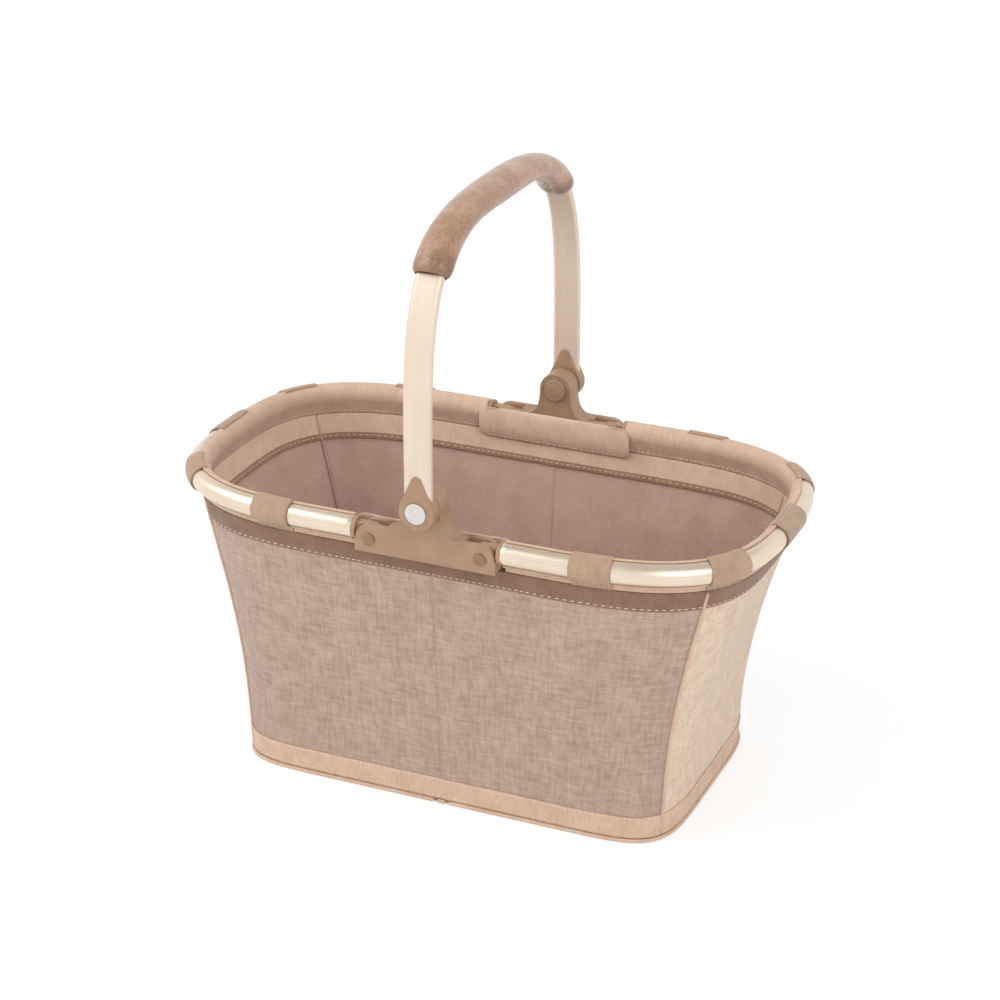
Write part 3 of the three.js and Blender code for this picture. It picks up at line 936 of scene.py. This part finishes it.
def woven_cloth(name, dark, light, lustre):
    """Padded canvas: a plain weave of flecked yarn, with the slow unevenness of a melange dye."""
    constants = {"Sheen Weight": lustre, "Sheen Roughness": 0.45, "Specular IOR Level": 0.25}
    finish, place = new_finish(name, constants)
    flat = place.node("UVMap", {}, {})
    pitch = 0.85 * mm
    threads = flat.stretched(math.pi / pitch, math.pi / pitch)
    across = threads.math("SINE", threads.node("SeparateXYZ", {}, {0: threads}))
    along = threads.math("SINE", threads.node("SeparateXYZ", {}, {0: threads}, output=1))
    over = threads.math("GREATER_THAN", across * along, 0.0)
    warp = threads.math("ABSOLUTE", across)
    weft = threads.math("ABSOLUTE", along)
    weave = over * warp**0.5 * weft + (1 - over) * warp * weft**0.5
    warp_yarn = flat.stretched(900, 75).noise(1.0, 2.0)
    weft_yarn = flat.stretched(75, 900).noise(1.0, 2.0)
    flecks = over * warp_yarn + (1 - over) * weft_yarn
    slubs = (flat.stretched(60, 330).noise(1.0, 3.0) + flat.stretched(330, 60).noise(1.0, 3.0)) * 0.5
    clouds = place.noise(48, 6.0)
    tone = flecks * 0.36 + slubs * 0.5 + clouds * 0.16 + weave * 0.12 - 0.06
    colour = tone.between(0.3, 0.72).blend(dark, light)
    wires = {"Base Color": colour, "Roughness": 0.97 - weave * 0.12}
    return join_up(finish, wires, weave * 0.75 + flecks * 0.25, 0.3 * mm)


def twill_lining():
    """Rosy brown lining: a fine diagonal twill, rubbed paler in patches."""
    finish, place = new_finish("twill_lining", {"Sheen Weight": 0.15, "Specular IOR Level": 0.3})
    flat = place.node("UVMap", {}, {})
    diagonal = {0: flat, 1: (0.8, 0.6, 0)}
    slant = flat.node("VectorMath", {"operation": "DOT_PRODUCT"}, diagonal, output="Value")
    twill = slant.math("ABSOLUTE", slant.math("SINE", slant * (math.pi / (1.2 * mm))))
    yarn = flat.stretched(420, 420).noise(1.0, 3.0)
    clouds = place.noise(42, 5.0)
    tone = 0.14 + twill * 0.2 + yarn * 0.3 + clouds * 0.32
    colour = tone.between(0.3, 0.8).blend(srgb(171, 143, 128), srgb(211, 184, 168))
    wires = {"Base Color": colour, "Roughness": 0.9 - twill * 0.1}
    return join_up(finish, wires, twill * 0.7 + yarn * 0.3, 0.2 * mm)


taupe_cloth = woven_cloth("taupe_cloth", srgb(158, 132, 115), srgb(206, 182, 164), 0.25)
cream_cloth = woven_cloth("cream_cloth", srgb(202, 174, 148), srgb(242, 222, 198), 0.25)
lining = twill_lining()


def wall_sheet(columns, rows, place, size, origin):
    """A sheet on a wall, whose faces look out of the basket."""
    mesh = bent_sheet(columns, rows, place, size, origin)
    mesh.normal_update()
    level = Vector((1, 1, 0))
    if sum(face.normal.dot(face.calc_center_median() * level) for face in mesh.faces) < 0:
        bmesh.ops.reverse_faces(mesh, faces=mesh.faces)
    return mesh


def place_on_wall(side, face, start, stop):
    """Lays sheets on a wall from start to stop, with their lift and height from a path."""

    def place_on(path):
        def place(across, rise):
            lift, height = path.point(rise * path.length)
            return cloth_point(mix(start, stop, across), height, lift, side, face)

        return place

    return place_on


fold_top = Vector((rim_end.x - fold_gap, wall_point(seam_turn, 1).y, wall_top))
fold_slope = Vector(((base_reach - fold_top.x) / wall_height, 0, -1))


def draw_in(made, face=None, lift=0):
    """Gives a piece its own copy of its mesh. It works out the line from the rim's end to the base's end,
    tucked in for a long side and lift metres off for a tape on an end, but does not move the piece.
    """
    tuck = fold_tuck if face else 0
    axis = Vector((-math.cos(tuck), math.sin(tuck), 0))
    axis.z = axis.dot(fold_slope)
    anchor = fold_top - axis.normalized() * lift
    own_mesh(made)


panel_path = path_of([(0, mix(wall_bottom, cloth_top, share)) for share in evenly(wall_rows)])
walls = []
for side in side_signs:
    for face in face_signs:
        walls.append((f"{face}_{side}", side, face, (0, seam_distance - seam_gap)))
    half_end = quarter - seam_distance - seam_gap
    walls.append((f"{side}_end", side, None, (-half_end, half_end)))

wall_pieces = {}
wall_places = {}
for name, side, face, (start, stop) in walls:
    place_on = place_on_wall(side, face, start, stop)
    length = stop - start
    columns = round(length / wall_step)
    sign = side_signs[side]
    size = (length * sign, panel_path.length)
    sheet = wall_sheet(columns, wall_rows, place_on(panel_path), size, (start * sign, 0))
    cloth, slot = (taupe_cloth, "side_cloth") if face else (cream_cloth, "end_cloth")
    made = piece(f"{name}_cloth", sheet, cloth, f"{side}_walls", slot, f"{name}_panel")
    made.data.materials.append(lining)
    thicken(made, cloth_thickness, -1, 1)
    wall_pieces[name] = [made]
    wall_places[name] = place_on


# Wall trim
# Dark tape binds the top edge of every wall. Its dark colour and its height are partly painted shade, for
# the shadow that the rim casts on the top of the wall. A wide pale facing on the inside has a dark tape
# along its lower edge. A stout tape covers the walls' foot. Cords cover the corner seams.
tape_thickness = 0.7 * mm
tape_lift = tape_thickness / 2 + 0.05 * mm
binding_height = 15 * mm
foot_low = wall_bottom + 1.2 * mm
foot_high = wall_bottom + 19 * mm
piping_radius = 1.3 * mm
seam_bead_radius = 0.9 * mm
foot_tape = ribbed_tape("foot_tape", srgb(190, 156, 132), srgb(225, 195, 170))
# Partly painted shade: the binding's dark brown, 15 mm high, also stands in for the rim's shadow on the
# wall.
binding_and_shade_tape = ribbed_tape("binding_and_shade_tape", srgb(116, 90, 72), srgb(150, 120, 98))
facing_tape = ribbed_tape("facing_tape", srgb(206, 176, 152), srgb(234, 207, 183))
edge_tape = ribbed_tape("edge_tape", srgb(138, 109, 88), srgb(174, 143, 119))
inner_lift = -cloth_thickness - tape_lift
facing_low = wall_top - 21 * mm
facing_edge = facing_low + 4.5 * mm
facing_lift = inner_lift - 0.4 * mm
edge_lift = facing_lift - tape_thickness
seam_bead_lift = inner_lift - 0.7 * mm
on_tape = tape_lift + tape_thickness / 2
on_edge = edge_lift - tape_thickness / 2

# Rows of stitches: the lift, the height, and 1 for the outside or -1 for the inside.
seam_rows = [
    (on_tape, wall_top - binding_height + 1.6 * mm, 1),
    (on_edge, (facing_low + facing_edge) / 2, -1),
    (on_tape, foot_high - 1.8 * mm, 1),
    (on_tape, foot_low + 2.2 * mm, 1),
]


def upright(lift, low, high):
    return path_of([(lift, mix(low, high, share)) for share in evenly(6)])


binding_path = path_of(
    [(tape_lift, wall_top - binding_height), (tape_lift, wall_top - 0.8 * mm)]
    + [(mix(tape_lift, inner_lift, share), wall_top - 0.45 * mm) for share in evenly(4)]
    + [(inner_lift, wall_top - 0.8 * mm)]
)
tapes = {
    "binding": (binding_path, binding_and_shade_tape, 20),
    "facing": (upright(facing_lift, facing_low, wall_top - 0.3 * mm), facing_tape, 8),
    "facing_edge": (upright(edge_lift, facing_low - 0.5 * mm, facing_edge), edge_tape, 6),
    "foot_tape": (upright(tape_lift, foot_low, foot_high), foot_tape, 8),
}


def seam_spots(place_on, length, lift, height, outwards):
    """Stitches round a wall at one height."""
    place = place_on(path_of([(lift, height - mm), (lift, height + mm)]))
    count = int(length / stitch_pitch)
    spots = []
    for step in range(count):
        share = (step + 0.5) / count
        spot = place(share, 0.5)
        small = 0.001
        along = place(share + small, 0.5) - place(share - small, 0.5)
        away = along.cross(place(share, 1) - place(share, 0)).normalized()
        if away.dot(spot * Vector((1, 1, 0))) < 0:
            away = -away
        spots.append((spot, along, away * outwards))
    return spots


def corner_cord(name, side, face, lift, radius, finish):
    """A round cord up the seam between a long side and an end."""
    heights = [mix(foot_low, wall_top - 0.4 * mm, share) for share in evenly(60)]
    corner = [cloth_point(seam_distance, height, lift, side, face) for height in heights]
    level = to_quarter(Vector((1, -1, 0)), side, face).normalized()
    return piece(name, cord(Line(corner), level, 60, radius), finish, f"{side}_walls", "hem_cloth")


for name, side, face, (start, stop) in walls:
    place_on = wall_places[name]
    length = stop - start
    columns = round(length / wall_step)
    sign = side_signs[side]
    body = f"{side}_walls"
    for tape, (path, finish, rows) in tapes.items():
        sheet = wall_sheet(columns, rows, place_on(path), (length * sign, path.length), (start * sign, 0))
        made_tape = thicken(piece(f"{name}_{tape}", sheet, finish, body, "hem_cloth"), tape_thickness, 0)
        draw_in(made_tape, face, 0 if face else path.points[0].x)
        wall_pieces[name].append(made_tape)
    spots = [spot for row in seam_rows for spot in seam_spots(place_on, length, *row)]
    made_sewn = piece(f"{name}_stitches", stitches(spots), pale_thread, body, "hem_cloth")
    wall_pieces[name].append(made_sewn)
    draw_in(wall_pieces[name][0], face)
    draw_in(made_sewn, face)
    if face:
        cords = [
            corner_cord(f"{name}_piping", side, face, tape_lift, piping_radius, foot_tape),
            corner_cord(f"{name}_seam", side, face, seam_bead_lift, seam_bead_radius, lining),
        ]
        for made_cord in cords:
            draw_in(made_cord)
        wall_pieces[name] += cords
    place = place_on(panel_path)
    edges = [Line([place(share, rise) for share in evenly(100)]) for rise in (0, 1)]
    foot_length, top_length = [edge.length for edge in edges]
    max(top_length, foot_length)


# Bottom
# Two stiff halves of the same taupe cloth, sewn to the walls' foot with piping round their edge,
# and a strip of tape between them that is their hinge. A loose board lies on each half.
fold_edge = base_low.x
board_low, board_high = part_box("right_base_board")
strip_low, strip_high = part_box("base_fold_strip")
bottom_piping_radius = 1.4 * mm
piping_out = 0.9 * mm
piping_height = 1.5 * mm
board_rounding = 0.9 * mm
bottom_rounding = 0.5 * mm
strip_thickness = 0.5 * mm
strip_lift = 0.2 * mm
strip_arch = 0.5 * mm


def base_outline(inset):
    """Half of the base seen from above, from the fold round the end and back."""
    turns = [mix(-1, 1, share) for share in evenly(72)]
    reach, half_width = base_reach - inset, base_half_width - inset
    points = [half_oval(side_straight, reach, half_width, base_power, turn).xy for turn in turns]
    return [(fold_edge, -half_width), *[tuple(point) for point in points], (fold_edge, half_width)]


def base_plate(inset, low, high, rounding):
    """A flat half of the base with its UV map laid out from above."""
    mesh = soften(plate(base_outline(inset), high - low), rounding, angle=60)
    moved(mesh, z=(low + high) / 2)
    flat = mesh.loops.layers.uv.new("UVMap")
    for face in mesh.faces:
        for loop in face.loops:
            loop[flat].uv = loop.vert.co.xy
    return mesh


board_cloth = woven_cloth("board_cloth", srgb(118, 96, 84), srgb(164, 139, 124), 0.15)
bottom_line = Line([Vector((x, y, piping_height)) for x, y in base_outline(-piping_out)])
for side in side_signs:
    bottom = mirrored(base_plate(0, base_low.z, base_high.z, bottom_rounding), side)
    body = f"{side}_base"
    made_bottom = piece(f"{side}_bottom", bottom, taupe_cloth, body, "side_cloth", f"{side}_bottom_panel")
    piping = mirrored(cord(bottom_line, up, 260, bottom_piping_radius), side)
    made_piping = piece(f"{side}_bottom_piping", piping, foot_tape, body, "hem_cloth")
    board = mirrored(base_plate(base_reach - board_high.x, board_low.z, board_high.z, board_rounding), side)
    piece(f"{side}_board", board, board_cloth, body, "base_board", f"{side}_base_board")

strip_size = (strip_high - strip_low).xy


def strip_place(across, rise):
    flat = strip_low + Vector((across * strip_size.x, rise * strip_size.y, 0))
    return flat + up * (strip_lift + strip_arch * math.sin(math.pi * across))


strip_cut = (Line([strip_place(share, 0) for share in evenly(12)]).length, strip_size.y)
strip = closed(bent_sheet(12, 110, strip_place, strip_cut))
made_strip = piece("fold_strip", strip, foot_tape, "root", "hem_cloth", "base_fold_strip")
thicken(made_strip, strip_thickness, 1)
stub_reach = fold_edge - bottom_piping_radius
for face, sign in face_signs.items():
    edge = Vector((0, sign * (base_half_width + piping_out), piping_height))
    ends = [edge + Vector((mix(-stub_reach, stub_reach, share), 0, 0)) for share in evenly(3)]
    stub = cord(Line(ends), up, 10, bottom_piping_radius)
    piece(f"{face}_strip_piping", stub, foot_tape, "root", "hem_cloth")


# Handle bar
# One flat aluminium tube with round edges, bent to an arch. It is blasted before it is anodised,
# so that it has a softer sheen than the rim.
bar_low, bar_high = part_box("handle_tube")
bar_width = bar_high.x - bar_low.x
bar_thickness = 7.5 * mm
arch_power = 3.5
leg_spread = bar_high.y - bar_thickness / 2
crown = bar_high.z - bar_thickness / 2
shoe_low, shoe_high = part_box("back_handle_shoe")
leg_straight = shoe_high.z - pivot_at.z + 2 * mm
bar_start = bar_low.z - pivot_at.z
handle_level = Vector((-1, 0, 0))


def handle_point(turn):
    flat = half_oval(leg_straight, crown - pivot_at.z, leg_spread, arch_power, turn)
    return Vector((0, flat.y, pivot_at.z + flat.x))


last_turn = 2 - bar_start / leg_straight
handle_line = Line([handle_point(mix(-last_turn, last_turn, share)) for share in evenly(800)])


def bar_outline(width, thickness):
    """A flat bar's section: straight faces with round edges."""
    edge = thickness / 2
    middle = width / 2 - edge
    top = arc((0, middle), edge, 0, 180, 12)
    return top + arc((0, -middle), edge, 180, 360, 12)


bar_edge = bar_outline(bar_width, bar_thickness)
bar_path = path_of(bar_edge + bar_edge[:1])


def bar_section(along, around):
    return bar_path.point(around * bar_path.length)


satin_aluminium = champagne_aluminium(
    "satin_aluminium", metallic=0.3, gloss=0.64, shade=srgb(214, 196, 175), tint=srgb(234, 218, 199)
)
bar_girth = 2 * (bar_width + bar_thickness)
bar = closed(swept(handle_line, handle_level, 190, 52, bar_section, girth=bar_girth))
made_bar = piece("handle_bar", bar, satin_aluminium, "handle", "champagne_aluminium", "handle_tube")
thicken(made_bar, tube_wall)


# Handle shoes
# A moulded foot on each end of the bar. Two cheeks that narrow to a round tip clasp the bar,
# and the round end turns on the handle pin, with a washer against the hinge block.
shoe_radius = pivot_at.z - shoe_low.z
shoe_tip_radius = 4 * mm
shoe_tip = shoe_high.z - shoe_tip_radius
shoe_thickness = shoe_high.y - shoe_low.y
shoe_rounding = 1.1 * mm
socket_gap = 0.1 * mm
socket_overrun = 5 * mm
washer_low, washer_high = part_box("back_handle_washer")
washer_radius = washer_high.z - pivot_at.z
washer_rounding = 0.3 * mm


def handle_shoe():
    slope = math.degrees(math.asin((shoe_radius - shoe_tip_radius) / (shoe_tip - pivot_at.z)))
    outline = arc((0, pivot_at.z), shoe_radius, 180 - slope, 360 + slope, 36)
    outline += arc((0, shoe_tip), shoe_tip_radius, slope, 180 - slope, 14)
    body = stood_up(soften(plate(outline, shoe_thickness), shoe_rounding), leg_spread)
    depth = shoe_high.z - bar_low.z + socket_overrun
    hollow = bar_outline(bar_width + 2 * socket_gap, bar_thickness + 2 * socket_gap)
    socket = plate([(y, x) for x, y in hollow], depth)
    moved(socket, y=leg_spread, z=bar_low.z - fit_gap + depth / 2)
    bore = rod(pivot_radius + fit_gap, shoe_low.y - mm, shoe_high.y + mm, 0, pivot_at.z)
    return carved(body, "DIFFERENCE", socket, bore)


def washer():
    bore = pivot_radius + fit_gap
    corners = [(bore, washer_low.y), (washer_radius, washer_low.y), (washer_radius, washer_high.y)]
    ring = lathed([*corners, (bore, washer_high.y), (bore, washer_low.y)])
    return soften(moved(ring, z=pivot_at.z), washer_rounding)


for face in face_signs:
    shoe = mirrored(handle_shoe(), face=face)
    made = piece(f"{face}_shoe", shoe, brown_plastic, "handle", "brown_plastic", f"{face}_handle_shoe")
    even_shading(made)
    ring = mirrored(washer(), face=face)
    piece(f"{face}_washer", ring, brown_plastic, "root", "brown_plastic", f"{face}_handle_washer")


# Handle pins
# Large bright steel rivets that hold the shoes to the hinge blocks and let the handle swing.
# Inside the basket a plastic cap covers each rivet's head.
pivot_head_radius = 8 * mm
pivot_head_height = 1.8 * mm
cap_wall = 0.7 * mm
cap_gap = 0.1 * mm
bright_steel = rivet_steel("bright_steel", srgb(196, 192, 186), srgb(238, 236, 231))


def pivot_cap():
    """A low plastic dome that is pressed over the rivet's head on the inside of the basket."""
    radius = pivot_head_radius + fit_gap + cap_wall
    height = pivot_head_height + fit_gap + cap_wall
    base = block_low.y - cap_gap
    outside = [(radius * math.sqrt(1 - share**3), base - height * share) for share in evenly(10)]
    inside = [(pivot_head_radius + fit_gap, base), (pivot_head_radius + fit_gap, base - height + cap_wall)]
    dome = lathed([*outside, (0, base - height + cap_wall), *reversed(inside), outside[0]])
    return moved(dome, z=pivot_at.z)


pivot_span = (block_low.y - fit_gap, shoe_high.y + fit_gap)
for face in face_signs:
    pin = rivet(pivot_radius, pivot_head_radius, pivot_head_height, *pivot_span)
    pin = mirrored(moved(pin, z=pivot_at.z), face=face)
    piece(f"{face}_pivot", pin, bright_steel, "root", "rivet_steel", f"{face}_handle_pin")
    piece(f"{face}_pivot_cap", mirrored(pivot_cap(), face=face), brown_plastic, "root", "brown_plastic")


# Grip
# A padded sleeve of saddle brown leather round the crown of the handle, drawn tight and laced
# together underneath, with a rolled edge at both ends.
grip_length = 248 * mm
grip_low, grip_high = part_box("handle_grip")
grip_half_width = (grip_high.x - grip_low.x) / 2
grip_half_thickness = 10.5 * mm
grip_fit = 0.25 * mm
bore_power = 0.45
roll_length = 9 * mm
roll_size = 0.8
swell_share = 0.03
lace_crease_depth = 0.07
lace_crease_width = 0.018
lace_pitch = 6.5 * mm
lace_rise = 0.96
lace_slope = 0.7


def grip_leather():
    """Saddle leather: a pebbled grain, darker in its pores, with painted shade darkening its ends, and
    paler where rubbed.
    """
    constants = {"Coat Weight": 0.6, "Coat Roughness": 0.32, "Sheen Weight": 0.25}
    finish, place = new_finish("grip_leather", constants)
    flat = place.node("UVMap", {}, {})
    cells = {"Vector": flat, "Scale": 620.0, "Smoothness": 0.6}
    pebbles = flat.node("TexVoronoi", {"feature": "SMOOTH_F1"}, cells)
    fine = place.noise(1500, 3.0)
    worn = place.noise(60, 3.0).between(0.35, 0.8)
    along = flat.node("SeparateXYZ", {}, {0: flat})
    from_middle = along.math("ABSOLUTE", along - grip_length / 2)
    # Painted shade: the last 20 mm at each end of the grip are darkened, in place of the shade on its
    # rolled ends.
    ends = from_middle.between(grip_length / 2 - 20 * mm, grip_length / 2 - 2 * mm)
    tone = 0.16 + worn * 0.25 + fine * 0.3 + pebbles * 0.3 - ends * 0.3
    colour = tone.between(0.0, 0.95).blend(srgb(110, 74, 50), srgb(192, 149, 115))
    height = 1 - pebbles + fine * 0.2
    rough = 0.55 - worn * 0.17 + fine * 0.08
    return join_up(finish, {"Base Color": colour, "Roughness": rough}, height, 0.22 * mm)


leather = grip_leather()
grip_start = (handle_line.length - grip_length) / 2
outer_share = 0.62


def grip_section(along, around):
    """Out over the sleeve's outside for the first share of the way along, then back through its bore."""
    angle = 2 * math.pi * around
    cosine, sine = math.cos(angle), math.sin(angle)
    if along > outer_share:
        half_thickness = bar_thickness / 2 + grip_fit
        half_width = bar_width / 2 + grip_fit
        return (
            half_thickness * math.copysign(abs(cosine) ** bore_power, cosine),
            half_width * math.copysign(abs(sine) ** bore_power, sine),
        )
    distance = grip_length * along / outer_share
    to_end = min(distance, grip_length - distance)
    roll = min(1, to_end / roll_length)
    swell = 1 - swell_share + swell_share * math.cos(4 * math.pi * distance / grip_length)
    size = swell * mix(roll_size, 1, math.sqrt(1 - (1 - roll) ** 2))
    crease = lace_crease_depth * math.exp(-(((around - 0.5) / lace_crease_width) ** 2))
    return grip_half_thickness * cosine * size * (1 - crease), grip_half_width * sine * size


def grip_place(along, around):
    """Follows the handle to the far end of the grip and back."""
    share = along / outer_share if along <= outer_share else (1 - along) / (1 - outer_share)
    distance = grip_start + grip_length * share
    out, rise = grip_section(along, around)
    outwards = handle_line.direction(distance).cross(handle_level)
    return handle_line.point(distance) + outwards * out + handle_level * rise


grip_girth = math.pi * (grip_half_width + grip_half_thickness)
grip = closed(bent_sheet(210, 56, grip_place, (grip_length / outer_share, grip_girth)))
made_grip = piece("grip_sleeve", grip, leather, "handle", "grip_leather", "handle_grip")


def lace_spots():
    """Cross stitches over the seam on the underside of the grip."""
    spots = []
    count = int((grip_length - 2 * roll_length) / lace_pitch)
    for step in range(count):
        distance = grip_start + roll_length + (step + 0.5) * lace_pitch
        along = handle_line.direction(distance)
        inwards = -along.cross(handle_level)
        spot = handle_line.point(distance) + inwards * grip_half_thickness * lace_rise
        for slant in (-1, 1):
            spots.append((spot, along * lace_slope + handle_level * slant, inwards))
    return spots


piece("grip_lacing", stitches(lace_spots()), pale_thread, "handle", "grip_leather")


# Studio
# A plain white floor and surround under a darker ceiling, with a large soft lamp on each side.
# The floor and the surround are white to the camera and in reflections, and light less than that.
camera_azimuth = math.radians(23.6)
camera_elevation = math.radians(23.6)
camera_distance = 2.0
photo_focal = 2.634
sensor = 36.0
aim_shift = (0.003, -0.023)
floor_half = 6.0
surround_light = 0.85
ceiling_dimming = 0.45
ceiling_edge = (0.45, 0.9)
camera_share = 0.6
floor_glow = 1.1
floor_tone = 0.9
floor_roughness = 0.9
floor_drop = 0.3 * mm
lamp_target = Vector((0, 0, 0.2))

seen = bpy.data.materials.new("floor_white")
seen.use_nodes = True
wire = Wire(seen.node_tree)


def seen_rays(wire):
    """1 for rays from the camera or in a reflection, and 0 for light that falls on the object."""
    camera = wire.node("LightPath", {}, {}, output="Is Camera Ray")
    glossy = wire.node("LightPath", {}, {}, output="Is Glossy Ray")
    through = wire.node("LightPath", {}, {}, output="Is Transmission Ray")
    return wire.math("MINIMUM", camera + glossy + through, 1.0)


shader = seen.node_tree.nodes["Principled BSDF"]
shader.inputs["Base Color"].default_value = (floor_tone, floor_tone, floor_tone, 1)
shader.inputs["Roughness"].default_value = floor_roughness
glow = wire.node("Emission", {}, {"Color": (1, 1, 1, 1), "Strength": floor_glow})
lit = Wire(seen.node_tree, shader.outputs[0])
mixed = wire.node("MixShader", {}, {0: seen_rays(wire) * camera_share, 1: lit, 2: glow})
seen.node_tree.links.new(mixed.socket, seen.node_tree.nodes["Material Output"].inputs["Surface"])
ground = bmesh.new()
bmesh.ops.create_grid(ground, x_segments=1, y_segments=1, size=floor_half)
new_object("floor", moved(ground, z=-floor_drop), seen)

world = bpy.data.worlds.new("surround")
bpy.context.scene.world = world
world.use_nodes = True
sky = Wire(world.node_tree)
rays = seen_rays(sky)
background = world.node_tree.nodes["Background"]
background.inputs["Color"].default_value = (1, 1, 1, 1)
direction = sky.node("TexCoord", {}, {}, output="Generated")
ceiling = sky.node("SeparateXYZ", {}, {0: direction}, output=2).between(*ceiling_edge)
strength = rays * (1 - surround_light - ceiling * ceiling_dimming) + surround_light
world.node_tree.links.new(strength.socket, background.inputs["Strength"])


def soft_lamp(name, place, size, power):
    """A square soft box that looks at the middle of the basket."""
    data = bpy.data.lights.new(name, "AREA")
    data.size = size
    data.energy = power
    lamp = bpy.data.objects.new(name, data)
    lamp.location = place
    aim = lamp_target - lamp.location
    lamp.rotation_mode = "QUATERNION"
    lamp.rotation_quaternion = aim.to_track_quat("-Z", "Y")
    bpy.context.scene.collection.objects.link(lamp)


soft_lamp("right_lamp", place=(1.9, -1.7, 2.0), size=1.5, power=24)
soft_lamp("left_lamp", place=(-1.9, -1.1, 2.1), size=1.6, power=27)

back = Vector((
    math.sin(camera_azimuth) * math.cos(camera_elevation),
    -math.cos(camera_azimuth) * math.cos(camera_elevation),
    math.sin(camera_elevation),
))
camera_data = bpy.data.cameras.new("camera")
camera_data.sensor_width = sensor
camera_data.lens = sensor * photo_focal
camera_data.shift_x, camera_data.shift_y = aim_shift
camera = bpy.data.objects.new("camera", camera_data)
camera.location = up * rim_end.z + back * camera_distance
camera.rotation_mode = "QUATERNION"
camera.rotation_quaternion = (-back).to_track_quat("-Z", "Y")
bpy.context.scene.collection.objects.link(camera)
bpy.context.scene.camera = camera
bpy.context.scene.view_settings.view_transform = "Standard"

bpy.context.view_layer.update()
